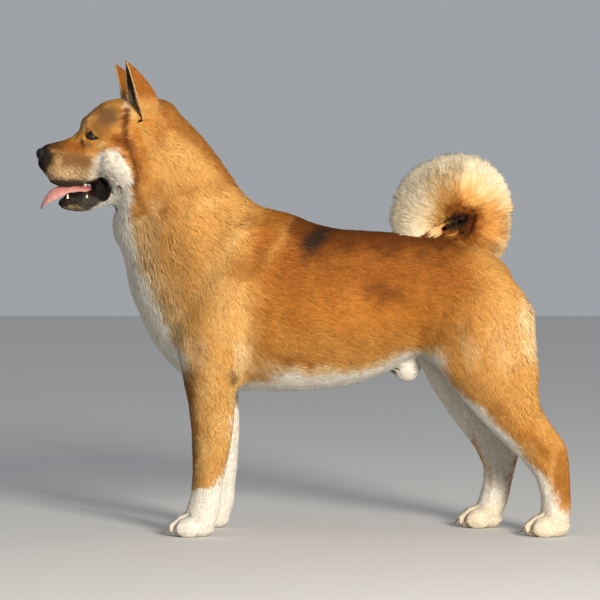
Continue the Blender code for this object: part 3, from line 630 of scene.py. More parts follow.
def head_colours(points):
    """The mask: white cheeks, a dark forehead, an ochre and grizzled muzzle, and black lips and jaw."""
    half, _ = mirrored_half(points)
    x, side, z = half.T
    fine = waves(points, 0.008, 11)
    rough = waves(points, 0.03, 12)
    speckle = smooth(-0.3, 0.7, waves(points, 0.0065, 15))
    blur = 0.0025 * fine + 0.002 * rough
    colours = mix(ORANGE, GOLD, 0.45 + 0.5 * rough)
    colours = mix(colours, BROWN, 0.22 * smooth(0.0, 1.0, fine))
    colours = patched(colours, FACE_PATCHES, x + blur, z + blur, 0.75)
    brow = bump_at(half, (-0.4540, 0.022, 0.838), (0.010, 0.010, 0.018))
    colours = mix(colours, CREAM, 0.80 * smooth(0.25, 0.80, brow + 0.2 * fine))
    # Painted shade along the crease behind the face: a rust-brown band with a darker line down its middle
    fold = crease_gap(half) + 0.8 * blur
    colours = mix(colours, mix(RUST, BROWN, 0.6), 0.85 * smooth(0.011, 0.003, fold) * smooth(0.70, 0.73, z))
    line = smooth(0.0045, 0.0015, fold + 0.0015 * fine) * smooth(0.725, 0.745, z)
    colours = mix(colours, mix(BROWN, BLACK, 0.4), 0.75 * line)
    # The muzzle: ochre above, grizzled over the lips, and dark round the nose and down the lip's front
    muzzle = smooth(-0.430, -0.455, x)
    ochre = muzzle * smooth(0.790, 0.774, z + blur + 0.12 * (x + 0.48))
    colours = mix(colours, rgb(0.20, 0.100, 0.035), 0.88 * ochre)
    colours = mix(colours, BROWN, 0.40 * muzzle * speckle * smooth(0.80, 0.79, z))
    low = muzzle * smooth(0.762, 0.742, z + blur)
    colours = mix(colours, CREAM, 0.62 * low)
    colours = mix(colours, mix(GREY, BROWN, 0.5), 0.85 * low * speckle)
    pale = patch(x + blur, z + blur, (-0.5095, 0.763), (0.012, 0.020), 10, 0.9)
    colours = mix(colours, CREAM, 0.35 * pale)
    colours = mix(colours, BLACK, 0.92 * muzzle * smooth(0.733, 0.723, z + 0.5 * blur + 0.05 * (x + 0.46)))
    white = face_white(x, z, blur)
    colours = mix(colours, WHITE, white)
    colours = mix(colours, GREY, 0.50 * white * smooth(0.35, 0.8, waves(points, 0.010, 14)))
    near_mouth = patch(x, z, (-0.420, 0.735), (0.030, 0.020))
    colours = mix(colours, GREY, 0.7 * near_mouth * white * smooth(-0.5, 0.5, waves(points, 0.008, 18)))
    for spot in ((-0.3895, 0.7760), (-0.3935, 0.7220)):
        colours = mix(colours, BROWN, 0.9 * patch(x, z, spot, (0.0045, 0.0045)) * smooth(0.04, 0.06, side))
    nose = np.sqrt((x + 0.5375) ** 2 + 0.8 * side**2 + (z - 0.777) ** 2)
    colours = mix(colours, BLACK, smooth(0.032, 0.020, nose + blur))
    front = smooth(-0.514, -0.527, x + 0.45 * (0.775 - z) - 0.10 * side + blur) * smooth(0.788, 0.775, z)
    colours = mix(colours, BLACK, 0.92 * front)
    ridge = smooth(-0.485, -0.515, x + blur) * smooth(0.785, 0.792, z + 0.12 * (x + 0.52))
    colours = mix(colours, BLACK, 0.8 * ridge)
    # The jaw: black and brown with pale hairs, whiter beneath
    chin = smooth(0.714, 0.704, z) * smooth(-0.406, -0.418, x + 1.4 * np.maximum(0.690 - z, 0))
    colours = mix(colours, BLACK, 0.92 * chin)
    hairs = smooth(0.30, 0.8, waves(points, 0.007, 16))
    colours = mix(colours, GREY, 0.15 * chin * hairs * smooth(0.698, 0.688, z))
    under = patch(x, z, (-0.482, 0.667), (0.030, 0.012))
    under = under + smooth(0.030, 0.012, side) * smooth(0.672, 0.664, z)
    colours = mix(colours, CREAM, 0.38 * np.clip(under, 0, 1) * chin * smooth(-0.8, 0.6, fine))
    # Painted shade inside the mouth: the gum behind the lower teeth dark red, and the mouth's inside and
    # closed back near black with a little gum colour
    inside = patch(x, z, (-0.438, 0.7035), (0.018, 0.0085), -6, 0.5) * chin
    colours = mix(colours, GUM_IN_SHADE, inside * smooth(0.040, 0.034, side))
    deep = patch(x, z, (-0.428, 0.711), (0.036, 0.024), 0, 0.3) * smooth(0.046, 0.040, side)
    colours = mix(colours, mix(0.4 * BLACK, GUM_IN_SHADE, 0.20), deep)
    colours = mix(colours, 0.4 * BLACK, mouth_corner(x, side, z))
    # The eye's black rim, its corners and the tear line
    tear = patch(x, z, (-0.4620, 0.8000), (0.0045, 0.0165), 12, 0.7)
    colours = mix(colours, BLACK, 0.85 * tear * smooth(0.018, 0.026, side))
    gap = eye_gap(half)
    below = smooth(EYE_PLACE[2], EYE_PLACE[2] - 0.004, z)
    return mix(colours, BLACK, smooth(0.0016, 0.0, gap - 0.0020 - 0.0016 * below))


def ear_colours(points, part, rim):
    """Rusty behind, near black inside the cup, and pale along both rims."""
    fine = waves(points, 0.008, 11)
    colours = mix(RUST, ORANGE, 0.10 + 0.4 * fine)
    colours = mix(colours, mix(BLACK, GRIZZLE, 0.30), smooth(0.4, 0.6, part))
    reach = np.where(part > 0.5, 0.0034, 0.0016) + 0.0006 * fine
    colours = mix(colours, mix(CREAM, GOLD, 0.3), 0.9 * smooth(reach + 0.0010, reach - 0.0010, rim))
    # The back of the ear takes the neck's gold at its foot
    foot = smooth(0.905, 0.872, points[:, 2] + 0.002 * fine) * smooth(0.6, 0.4, part)
    return mix(colours, GOLD, 0.85 * foot)


def markings(points):
    """The coat's colour at each point of the skin, but for the tail and the ears."""
    colours = leg_colours(points, trunk_colours(points))
    mound = on_rump_top(points)
    colours = mix(colours, mix(RUST, BROWN, 0.35), 0.85 * mound)
    # Painted shade, near black, over the mound where it fills the hollow of the tail's curl
    colours = mix(colours, BLACK, 0.92 * mound * tail_hollow_shade(points, 0))
    x, _, z = head_straight(points).T
    crown = smooth(-0.30, -0.34, x) * smooth(0.80, 0.84, z)
    return mix(colours, head_colours(points), np.maximum(on_head(points), crown))


def tail_hollow_shade(points, ragged):
    """1 in the hollow of the tail's curl, where painted shade goes, its edge moved by the ragged amounts."""
    middle = TAIL_CENTRE[::2] + (0.0, 0.004)
    return patch(points[:, 0] + ragged, points[:, 2], middle, (0.036, 0.017), 18, 0.5)


def tail_colours(points):
    """Near black painted shade at the curl's hollow, then rust and gold, out to cream."""
    out = points - TAIL_CENTRE
    reach = np.hypot(out[:, 0], out[:, 2])
    angle = np.degrees(np.arctan2(out[:, 2], out[:, 0])) % 360
    ragged = 0.006 * waves(points, 0.03, 31) + 0.004 * waves(points, 0.010, 32)
    lobe = smooth(110, 160, angle) * smooth(280, 230, angle)
    right = smooth(50, 10, angle) + smooth(280, 320, angle)
    reach = reach + ragged + 0.030 * lobe - 0.016 * right
    colours = mix(BROWN, RUST, smooth(0.018, 0.034, reach))
    colours = mix(colours, GOLD, smooth(0.036, 0.060, reach))
    colours = mix(colours, ORANGE, 0.45 * right * smooth(0.030, 0.045, reach))
    colours = mix(colours, CREAM, smooth(0.064, 0.098, reach))
    colours = mix(colours, rgb(0.92, 0.82, 0.64), 0.75 * smooth(0.090, 0.125, reach))
    # Painted shade, near black, in the hollow of the curl
    return mix(colours, BLACK, 0.92 * tail_hollow_shade(points, ragged))


# ---------------------------------------------------------------- the skin

FLESH = [
    "head", "jaw", "neck", "chest", "loin", "rump",
    *(f"{part}_{word}" for word in SIDES for part in ("thigh", "shank", "hindfoot", "forepaw")),
    *(f"foreleg_{word}_{part}" for word in SIDES for part in ("upper", "lower")),
]

# Lines of flesh that fill gaps: a low mound between the tail's root and its tip, the mouth's floor
# under the tongue, and the mouth's closed back, which runs from cheek to cheek
RUMP_TOP = np.array(((0.272, 0.0, 0.609), (0.300, 0.0, 0.622), (0.325, 0.0, 0.634), (0.350, 0.0, 0.627)))
MOUTH_FLOOR = ((-0.428, 0.0, 0.699), (-0.465, 0.0, 0.6955), (-0.490, 0.0, 0.691))
MOUTH_BACK = [(-0.424, across, 0.714) for across in (-0.034, -0.014, 0.014, 0.034)]
THROAT_FOLD = np.array((-0.418, 0.046, 0.680))  # the fold under the jaw's corner


def on_rump_top(points):
    """1 on the low mound of fur between the tail's root and its tip."""
    return smooth(0.027, 0.020, off_line(points, RUMP_TOP)) * smooth(0.606, 0.616, points[:, 2])


def gathered_flesh():
    """The flesh nodes, grown enough to close the cuts, with what fills the gaps, and the tail's core."""
    bm = bmesh.new()
    for name in FLESH + ["eye_left", "eye_right", "nose"]:
        start = len(bm.verts)
        bm.from_mesh(NODES[name].data)
        bm.verts.ensure_lookup_table()
        bmesh.ops.remove_doubles(bm, verts=bm.verts[start:], dist=1e-6)
    bm.normal_update()
    for vert in bm.verts:
        vert.co += vert.normal * CUT_FILL
    path, radius, flat = core_path()
    start = len(bm.verts)
    tube_into(bm, path, radius, 32)
    bm.verts.ensure_lookup_table()
    for vert in bm.verts[start:]:
        near = int(np.linalg.norm(path - np.array(vert.co), axis=1).argmin())
        vert.co.y *= flat[near]
    tube_into(bm, RUMP_TOP, (0.016, 0.018, 0.018, 0.017), 20)
    tube_into(bm, head_turned(MOUTH_FLOOR), (0.012, 0.012, 0.008), 20)
    tube_into(bm, head_turned(MOUTH_BACK), (0.012, 0.014, 0.014, 0.012), 20)
    return new_object(mesh_from(bm, "skin"), "skin")


def make_skin():
    """One skin over the flesh: smooth but for the head, feet and tail, and in by the coat's depth."""
    skin = gathered_flesh()
    modified(skin, "REMESH", mode="VOXEL", voxel_size=SKIN_VOXEL)
    points = places(skin.data)
    feet = smooth(0.10, 0.06, points[:, 2])
    crisp = np.maximum.reduce((on_head(points), feet, in_tail(points)))
    leg = smooth(0.33, 0.26, points[:, 2])
    modified_where((1 - crisp) * (1 - 0.6 * leg), skin, "SMOOTH", factor=0.5, iterations=70)
    modified(skin, "SMOOTH", factor=0.5, iterations=6)
    points = places(skin.data)
    _, _, depth = coat_field(points)
    depth = depth * (1 - in_tail(points)) + TOE_GROOVE * toe_grooves(points)
    set_places(skin.data, points - normals(skin.data) * depth[:, None])
    # The fold under each jaw corner, where both sides were pushed in
    half, _ = mirrored_half(points)
    fold = smooth(0.036, 0.024, np.linalg.norm(half - THROAT_FOLD, axis=1))
    modified_where(fold, skin, "SMOOTH", factor=0.5, iterations=80)
    # Fewer faces, most of all away from the head and feet
    keep = np.maximum(on_head(points), smooth(0.10, 0.06, points[:, 2]))
    modified_where(1 - 0.8 * keep, skin, "DECIMATE", ratio=0.28, vertex_group_factor=1.0)
    return skin


GAZE = unit(np.array((-0.62, 0.76, 0.12)))
GAZE_UP = unit(np.array((0.0, 0.0, 1.0)) - GAZE[2] * GAZE)
GAZE_FRONT = np.cross(GAZE_UP, GAZE) * -1.0
EYE_CENTRE = EYE_PLACE - 0.0012 * GAZE
# The opening between the lids, seen along the gaze: towards the nose, and up
EYE_OPENING = np.array(((0.0092, -0.0050), (0.0024, 0.0052), (-0.0090, -0.0020), (0.0000, -0.0062)))


def eye_gap(straight):
    """How far each point of the right half of the straight head lies outside the eye's opening."""
    v = straight - EYE_CENTRE
    across = np.stack((v @ GAZE_FRONT, v @ GAZE_UP), 1)
    gap = np.full(len(v), -1.0)
    middle = EYE_OPENING.mean(0)
    for a, b in zip(EYE_OPENING, np.roll(EYE_OPENING, -1, 0)):
        out = np.array((b[1] - a[1], a[0] - b[0]))
        out = out / np.linalg.norm(out)
        if (middle - a) @ out > 0:
            out = -out
        gap = np.maximum(gap, (across - a) @ out)
    return np.where(v @ GAZE > 0, gap, 0.03)


def refined(skin, near, reach):
    """Halves the edges of the skin's faces where near(points) is less than the reach."""
    close = near(places(skin.data)) < reach
    bm = bmesh.new()
    bm.from_mesh(skin.data)
    bm.verts.ensure_lookup_table()
    edges = [e for e in bm.edges if close[e.verts[0].index] and close[e.verts[1].index]]
    bmesh.ops.subdivide_edges(bm, edges=edges, cuts=1, use_grid_fill=True)
    bmesh.ops.triangulate(bm, faces=bm.faces[:])
    bm.to_mesh(skin.data)
    bm.free()


def mirrored_half(points):
    """The points on the straight head's right half, and -1 for those that were on its left."""
    p = head_straight(points)
    return np.stack((p[:, 0], np.abs(p[:, 1]), p[:, 2]), 1), np.where(p[:, 1] < 0, -1.0, 1.0)


def from_eye(points):
    """How far each point is from the front of the eye on its side."""
    half, _ = mirrored_half(points)
    return np.linalg.norm(half - EYE_CENTRE - 0.006 * GAZE, axis=1)


def from_face(points):
    """Each point's x on the straight head, or 1 below the chin."""
    half, _ = mirrored_half(points)
    return np.where(half[:, 2] > 0.655, half[:, 0], 1.0)


def bump_at(half, place, size):
    """1 at the place, fading away over the size along each axis."""
    return np.exp(-(((half - np.array(place)) / np.array(size)) ** 2).sum(1))


# The crease behind the face seen from the side: x and z, from the ear down to the throat
CREASE = np.array((
    (-0.376, 0.862), (-0.384, 0.838), (-0.384, 0.808), (-0.373, 0.777), (-0.364, 0.746), (-0.362, 0.712),
    (-0.356, 0.690),
))


def crease_gap(half):
    """How far each point is from the crease, seen from the side."""
    return np.where(half[:, 1] > 0.03, off_line(half[:, ::2], CREASE), 1.0)


# How much the skin swells or sinks along its normal, with the place and size, on both sides of the head
SWELLS = [
    (0.0018, (-0.452, 0.028, 0.838), (0.012, 0.010, 0.008)),  # the brow
    (0.0016, (-0.425, 0.058, 0.800), (0.018, 0.020, 0.008)),  # the cheekbone
    (0.0020, (-0.505, 0.024, 0.755), (0.020, 0.020, 0.014)),  # the upper lip
    (0.0065, (-0.532, 0.0, 0.759), (0.012, 0.016, 0.009)),  # the lip's front, under the nose
    (-0.0018, (-0.425, 0.0, 0.880), (0.050, 0.004, 0.050)),  # the furrow of the forehead
    (-0.0040, (-0.432, 0.0, 0.880), (0.026, 0.035, 0.026)),  # the forehead
    (-0.0020, (-0.470, 0.030, 0.792), (0.014, 0.014, 0.012)),  # the hollow before the eye
    (-0.0050, (-0.418, 0.055, 0.706), (0.011, 0.030, 0.017)),  # the mouth's corner
    (0.0022, (-0.400, 0.075, 0.740), (0.016, 0.030, 0.030)),  # the cheek
]


def sculpt(skin):
    """Folds, lips, the hollows round the eyes, and the lids."""
    points = places(skin.data)
    half, flip = mirrored_half(points)
    n = yawed(normals(skin.data), -HEAD_YAW)
    n[:, 1] *= flip
    push = -0.0012 * np.exp(-(crease_gap(half) / 0.0090) ** 2)
    for height, place, size in SWELLS:
        push += height * bump_at(half, place, size)
    half = half + n * push[:, None]
    # The upper lip hangs a little lower along both sides
    lip = smooth(0.738, 0.722, half[:, 2]) * smooth(0.712, 0.716, half[:, 2])
    lip = lip * smooth(-0.418, -0.436, half[:, 0]) * smooth(0.006, 0.016, half[:, 1])
    half[:, 2] -= 0.0055 * lip
    # The lower lip dips under the tongue's edges
    half[:, 2] -= 0.0070 * bump_at(half, (-0.485, 0.020, 0.703), (0.012, 0.009, 0.008))
    # The skin draws back under the nose leather
    v = half - NOSE_CENTRE
    near = np.linalg.norm(v / NOSE_SIZE, axis=1)
    drawn_back = NOSE_CENTRE + v * np.minimum(0.86 / np.maximum(near, 0.1), 1)[:, None]
    half = np.where((near < 1.12)[:, None], drawn_back, half)
    # The lids hug the eyeball, and the skin inside the opening sinks behind it
    v = half - EYE_CENTRE
    r = np.maximum(np.linalg.norm(v, axis=1), 1e-6)
    gap = eye_gap(half)
    front = (v @ GAZE > -0.002) & (r < 0.024)
    lid = EYE_RADIUS + 0.0010 + 0.30 * np.clip(gap, 0, 0.004)
    hold = smooth(0.0085, 0.0015, gap)
    target = r + (lid - r) * hold
    sunk = EYE_RADIUS - 0.0022
    target = np.where(gap < 0, sunk + (lid - sunk) * smooth(-0.0006, 0.0, gap), target)
    half = np.where(front[:, None], EYE_CENTRE + v * (target / r)[:, None], half)
    half[:, 1] *= flip
    moved = head_turned(half)
    near_head = (from_face(points) < -0.33)[:, None]
    set_places(skin.data, np.where(near_head, moved, points))


# The straight right ear: the three corners of its foot, and its tip
EAR_INNER = np.array((-0.362, 0.034, 0.880))
EAR_OUTER = np.array((-0.342, 0.076, 0.854))
EAR_BACK = np.array((-0.305, 0.056, 0.882))
EAR_TIP = np.array((-0.376, 0.080, 0.968))
EAR_ROOT = (EAR_INNER + EAR_OUTER) / 2 + np.array((0.004, 0, -0.002))
EAR_THICK = 0.0024
EAR_STEPS = 32  # vertices over the back of each ring, and as many inside


def ear_ring(t):
    """One ring of the straight right ear: its back, then home inside, with each point's part and rim."""
    middle = EAR_ROOT + (EAR_TIP - EAR_ROOT) * t
    width = max(1 - max(t, 0) ** 1.7, 0.03) * (1 - 2.2 * max(0.15 - t, 0) ** 2)
    inner, outer, back = (middle + (corner - EAR_ROOT) * width for corner in (EAR_INNER, EAR_OUTER, EAR_BACK))
    share = (1 - np.cos(math.pi * np.linspace(0, 1, EAR_STEPS))) / 2
    edge = inner + (outer - inner) * share[:, None]
    bow = (back - (inner + outer) / 2) * np.sin(math.pi * share)[:, None] ** 0.75
    deep = np.linalg.norm(bow, axis=1, keepdims=True)
    inside = edge + bow * np.clip(1 - EAR_THICK / np.maximum(deep, 1e-6), 0.0, 1.0)
    inside += unit((outer - inner)[None]) * (0.4 * EAR_THICK * width * (1 - 2 * share))[:, None]
    run = np.r_[0, np.cumsum(np.linalg.norm(np.diff(edge + bow, axis=0), axis=1))]
    rim = np.minimum(run, run[-1] - run)
    points = np.vstack((edge + bow, inside[::-1]))
    part = np.r_[np.zeros(EAR_STEPS), np.ones(EAR_STEPS)]
    return points, part, np.r_[rim, rim[::-1]]


def add_ears(skin):
    """Both ears, joined to the skin, with which side of the ear each vertex is on and how near the rim."""
    bm = bmesh.new()
    bm.from_mesh(skin.data)
    part_layer = bm.verts.layers.float.new("ear_part")
    rim_layer = bm.verts.layers.float.new("ear_rim")
    for vert in bm.verts:
        vert[part_layer] = -1.0
    for side in SIDES.values():
        rings = []
        for t in np.linspace(-0.32, 1.0, 34):
            points, part, rim = ear_ring(t)
            points = head_turned(points * np.array((1, side, 1)))
            ring = []
            for k in range(len(points)):
                vert = bm.verts.new(points[k])
                vert[part_layer] = part[k]
                vert[rim_layer] = rim[k]
                ring.append(vert)
            rings.append(ring)
        bmesh.ops.recalc_face_normals(bm, faces=join_rings(bm, rings))
    bmesh.ops.triangulate(bm, faces=[face for face in bm.faces if len(face.verts) > 3])
    bm.to_mesh(skin.data)
    bm.free()
    skin.data.shade_smooth()


def unwrap(skin):
    """The OFBake map, an unwrap of the skin's own shape."""
    bpy.context.view_layer.objects.active = skin
    skin.select_set(True)
    bpy.ops.object.mode_set(mode="EDIT")
    bpy.ops.mesh.select_all(action="SELECT")
    bpy.ops.uv.smart_project(angle_limit=math.radians(60), island_margin=0.002)
    bpy.ops.object.mode_set(mode="OBJECT")
    skin.data.uv_layers[0].name = "OFBake"


def finish_skin(skin):
    """Paints the skin with the coat's markings, and puts it in place of the flesh."""
    points = places(skin.data)
    colours = mix(markings(points), tail_colours(points), in_tail(points))
    part = read(skin.data.attributes["ear_part"].data, "value", 1)
    rim = read(skin.data.attributes["ear_rim"].data, "value", 1)
    colours = mix(colours, ear_colours(points, part, rim), part > -0.5)
    paint(skin.data, colours * SKIN_SHADE)
    skin.data.materials.append(coat_material("skin", bumpy=True))
    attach(skin, "root")
    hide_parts(*FLESH, "ear_left", "ear_right", "tail_base", "tail_tip")


def paint(mesh, colours):
    layer = mesh.color_attributes.new(COLOUR, "FLOAT_COLOR", "POINT")
    rgba = np.ones((len(colours), 4), np.float32)
    rgba[:, :3] = np.clip(colours, 0, 1)
    layer.data.foreach_set("color", rgba.ravel())


# ---------------------------------------------------------------- materials


def node_material(name, **inputs):
    """A material whose Principled shader's own sockets hold the given numbers."""
    material = bpy.data.materials.new(name)
    material.use_nodes = True
    shader = material.node_tree.nodes["Principled BSDF"]
    for socket, value in inputs.items():
        shader.inputs[socket.replace("_", " ")].default_value = value
    return material, material.node_tree, shader


def noise(tree, scale, detail=4.0):
    texture = tree.nodes.new("ShaderNodeTexNoise")
    texture.inputs["Scale"].default_value = scale
    texture.inputs["Detail"].default_value = detail
    coords = tree.nodes.new("ShaderNodeTexCoord")
    tree.links.new(coords.outputs["Object"], texture.inputs["Vector"])
    return texture.outputs["Fac"]


def ranged(tree, value, low, high, new_low, new_high):
    """The value, stretched from its old range to a new one."""
    node = tree.nodes.new("ShaderNodeMapRange")
    for socket, number in zip(("From Min", "From Max", "To Min", "To Max"), (low, high, new_low, new_high)):
        node.inputs[socket].default_value = number
    tree.links.new(value, node.inputs["Value"])
    return node.outputs["Result"]


def bumped(tree, shader, height, strength, distance):
    bump = tree.nodes.new("ShaderNodeBump")
    bump.inputs["Strength"].default_value = strength
    bump.inputs["Distance"].default_value = distance
    tree.links.new(height, bump.inputs["Height"])
    tree.links.new(bump.outputs["Normal"], shader.inputs["Normal"])


def colour_from_mesh(tree, shader, grain=None, darkest=1.0, lightest=1.0):
    """The mesh's own colours as the base colour, varied over spots if a grain is given."""
    attribute = tree.nodes.new("ShaderNodeVertexColor")
    attribute.layer_name = COLOUR
    colour = attribute.outputs["Color"]
    if grain:
        scale = tree.nodes.new("ShaderNodeVectorMath")
        scale.operation = "SCALE"
        tree.links.new(colour, scale.inputs[0])
        tone = ranged(tree, noise(tree, grain), 0.3, 0.7, darkest, lightest)
        tree.links.new(tone, scale.inputs["Scale"])
        colour = scale.outputs["Vector"]
    tree.links.new(colour, shader.inputs["Base Color"])


def colour_between(tree, shader, dark, pale, grain):
    """A base colour that varies from dark to pale over spots."""
    blend = tree.nodes.new("ShaderNodeMix")
    blend.data_type = "RGBA"
    blend.inputs["A"].default_value = (*dark, 1)
    blend.inputs["B"].default_value = (*pale, 1)
    tree.links.new(ranged(tree, noise(tree, grain), 0.35, 0.65, 0.0, 1.0), blend.inputs["Factor"])
    tree.links.new(blend.outputs["Result"], shader.inputs["Base Color"])


def coat_material(name, bumpy):
    material, tree, shader = node_material(name, Roughness=0.68, Specular_IOR_Level=0.09)
    colour_from_mesh(tree, shader, 260.0, 0.86, 1.10)
    if bumpy:
        bumped(tree, shader, noise(tree, 700.0, 3.0), 0.6, 0.0012)
    return material


# ---------------------------------------------------------------- the tufts


def face_table(mesh):
    """The mesh's triangles as corner indices, with their areas, centres and corner UVs."""
    mesh.calc_loop_triangles()
    corners = read(mesh.loop_triangles, "vertices", 3, np.int32)
    loops = read(mesh.loop_triangles, "loops", 3, np.int32)
    uv = read(mesh.uv_layers["OFBake"].data, "uv", 2)[loops]
    points = places(mesh)
    a, b, c = (points[corners[:, k]] for k in range(3))
    area = np.linalg.norm(np.cross(b - a, c - a), axis=1) / 2
    return corners, area, (a + b + c) / 3, uv


class Skin:
    """The finished skin as a place to root tufts and to measure from."""

    def __init__(self, obj):
        mesh = obj.data
        self.points = places(mesh)
        self.normals = normals(mesh)
        self.corners, self.area, self.centres, self.uv = face_table(mesh)
        self.tree = BVHTree.FromPolygons(self.points.tolist(), self.corners.tolist())
        self.ear_part = read(mesh.attributes["ear_part"].data, "value", 1)
        self.ear_rim = read(mesh.attributes["ear_rim"].data, "value", 1)
        self.on_ear = self.ear_part[self.corners].min(1) > -0.5

    def rooted(self, density):
        """Random roots with so many to the square metre on each face: faces, shares, places,
        normals and UVs."""
        weight = self.area * density * TUFT_THINNING
        count = int(weight.sum())
        total = np.cumsum(weight)
        at = (np.arange(count) + RNG.random(count)) / count * total[-1]
        faces = np.minimum(np.searchsorted(total, at), len(total) - 1)
        u = np.sqrt(RNG.random(count))
        v = RNG.random(count)
        shares = np.stack((1 - u, u * (1 - v), u * v), 1)
        uv = (self.uv[faces] * shares[:, :, None]).sum(1)
        root = self.spread(self.points, faces, shares)
        return faces, shares, root, unit(self.spread(self.normals, faces, shares)), uv

    def spread(self, values, faces, shares):
        """Vertex values at places on the faces, by each corner's share."""
        if values.ndim == 1:
            return (values[self.corners[faces]] * shares).sum(1)
        return (values[self.corners[faces]] * shares[:, :, None]).sum(1)

    def nearest(self, points):
        """The nearest skin points, with smooth normals."""
        hits = [self.tree.find_nearest(point) for point in points.tolist()]
        at = np.array([hit[0] for hit in hits])
        faces = np.array([hit[2] for hit in hits])
        a, b, c = (self.points[self.corners[faces, k]] for k in range(3))
        ab, ac, ap = b - a, c - a, at - a
        d00 = (ab * ab).sum(1)
        d01 = (ab * ac).sum(1)
        d11 = (ac * ac).sum(1)
        d20 = (ap * ab).sum(1)
        d21 = (ap * ac).sum(1)
        below = np.maximum(d00 * d11 - d01 * d01, 1e-20)
        v = np.clip((d11 * d20 - d01 * d21) / below, 0, 1)
        w = np.clip((d00 * d21 - d01 * d20) / below, 0, 1)
        shares = np.stack((1 - v - w, v, w), 1)
        return at, unit(self.spread(self.normals, faces, shares))


def tangent(lie, normal):
    """The lie, turned to run along the surface."""
    return unit(lie - (lie * normal).sum(1, keepdims=True) * normal)


# A tuft is a closed wedge: two corners at its root, a ridge, and its tip. Each row gives a corner's
# share along the tuft, across it, and its height.
WEDGE = ((0.0, -0.5, 0.0), (0.0, 0.5, 0.0), (0.45, 0.0, 0.30), (1.0, 0.0, 0.0))
WEDGE_FACES = ((0, 2, 3), (1, 3, 2), (0, 3, 1), (0, 1, 2))
# Painted shade darkens the root corners, deep in the coat where the tufts shade each other, and the tip is a
# little lighter
WEDGE_SHADE = (0.86, 0.86, 0.98, 1.03)  # each corner's tone


def tuft_mesh(name, root, middle, tip, normal, width, colours, uv):
    """One mesh of closed tufts, each with its own patch of the OFBake map at its root's place."""
    along = unit(tip - root)
    side = unit(np.cross(along, normal))
    points = []
    facing = []
    for share, across, high in WEDGE:
        at = root if share == 0 else tip if share == 1 else middle
        points.append(at + side * (across * width)[:, None] + normal * (high * width)[:, None])
        facing.append(unit(normal + 1.4 * across * side + (0.3 * along if share == 1 else 0)))
    points = np.stack(points, 1)
    facing = np.stack(facing, 1)
    count, corners = points.shape[:2]
    faces = (np.array(WEDGE_FACES)[None] + (np.arange(count) * corners)[:, None, None]).reshape(-1, 3)
    mesh = bpy.data.meshes.new(name)
    mesh.vertices.add(count * corners)
    mesh.vertices.foreach_set("co", points.astype(np.float32).ravel())
    mesh.loops.add(faces.size)
    mesh.loops.foreach_set("vertex_index", faces.astype(np.int32).ravel())
    mesh.polygons.add(len(faces))
    mesh.polygons.foreach_set("loop_start", np.arange(0, faces.size, 3, dtype=np.int32))
    mesh.polygons.foreach_set("use_smooth", np.ones(len(faces), bool))
    mesh.update()
    corner = np.array([(across, share - 0.5) for share, across, _ in WEDGE]) * UV_PATCH
    place = (uv[:, None] + corner[None]).reshape(-1, 2)
    layer = mesh.uv_layers.new(name="OFBake")
    layer.data.foreach_set("uv", place[faces.ravel()].astype(np.float32).ravel())
    paint(mesh, colours.reshape(-1, 3))
    mesh.normals_split_custom_set_from_vertices(facing.reshape(-1, 3).astype(np.float32))
    return mesh


def tuft_colours(base):
    """Each tuft's own tone over the marking at its root, with painted shade darkening its root, and some dark
    at the tip.
    """
    count = len(base)
    shade = np.array(WEDGE_SHADE)
    tone = np.exp(RNG.normal(0, 0.10, count))
    warm = smooth(0.22, 0.42, base[:, 0] - base[:, 2])
    dark = (RNG.random(count) < 0.05) * warm
    out = base[:, None, :] * shade[None, :, None] * tone[:, None, None]
    tipped = 1 - dark[:, None] * (0.45 * smooth(0.6, 1.04, shade))[None]
    return out * tipped[:, :, None]


def coat_piece(name, pick, root, middle, tip, normal, width, base, uv):
    """One piece of the coat, of the tufts that pick holds."""
    root, middle, tip, normal, width, base, uv = (
        values[pick] for values in (root, middle, tip, normal, width, base, uv)
    )
    mesh = tuft_mesh(name, root, middle, tip, normal, width, tuft_colours(base), uv)
    assert len(mesh.polygons) < PIECE_LIMIT, (name, len(mesh.polygons))
    mesh.materials.append(COAT_FINISH)
    obj = new_object(mesh, name)
    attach(obj, "root")


def body_density(skin):
    """Tufts to the square metre on each face, with none in the eyes and mouth or on the soles."""
    at = skin.centres
    _, length, _ = coat_field(at)
    # As close as their width lets them be, but sparser down the legs and denser on face and rump
    density = 1.30 / (length * WIDTH_SHARE + 0.00130) ** 2
    density = density * np.interp(at[:, 2], (0.09, 0.12, 0.30, 0.34), (0.48, 0.66, 0.66, 1.0))
    density = density * (1 + 0.35 * on_head(at)) * (1 + 3.0 * on_rump_top(at))
    half, _ = mirrored_half(at)
    x, side, z = half.T
    bare = (in_tail(at) > 0.5) | (at[:, 2] < 0.004) | skin.on_ear
    bare |= (eye_gap(half) < 0.0036) & (x < -0.40)
    bare |= (mouth_corner(x, side, z) > 0.5) & (z > 0.65)
    bare |= (x < -0.41) & (x > -0.525) & (side < 0.019) & (z > 0.690) & (z < 0.722)
    bare |= (side < 0.027) & (x < -0.468) & (z > 0.695) & (z < 0.715)
    density[bare] = 0
    return density


def piece_names(root):
    """The piece of the body's coat that each root belongs to."""
    x, y, z = root.T
    names = np.full(len(root), "coat_trunk_rear", dtype="U40")
    names[x < 0.21] = "coat_trunk_middle"
    names[x < -0.02] = "coat_trunk_front"
    names[x < -0.165] = "coat_chest"
    names[(x < -0.165) & (z > 0.56)] = "coat_neck"
    names[(z < 0.27) & (x >= 0)] = "coat_hindleg"
    names[(z < 0.27) & (x < 0)] = "coat_foreleg"
    names[(z < 0.10) & (x >= 0)] = "coat_hindpaw"
    names[(z < 0.10) & (x < 0)] = "coat_forepaw"
    names[on_head(root) > 0.5] = "coat_face"
    across_middle = np.where(names == "coat_face", head_straight(root)[:, 1], y)
    return np.char.add(names, np.where(across_middle < 0, "_left", "_right"))


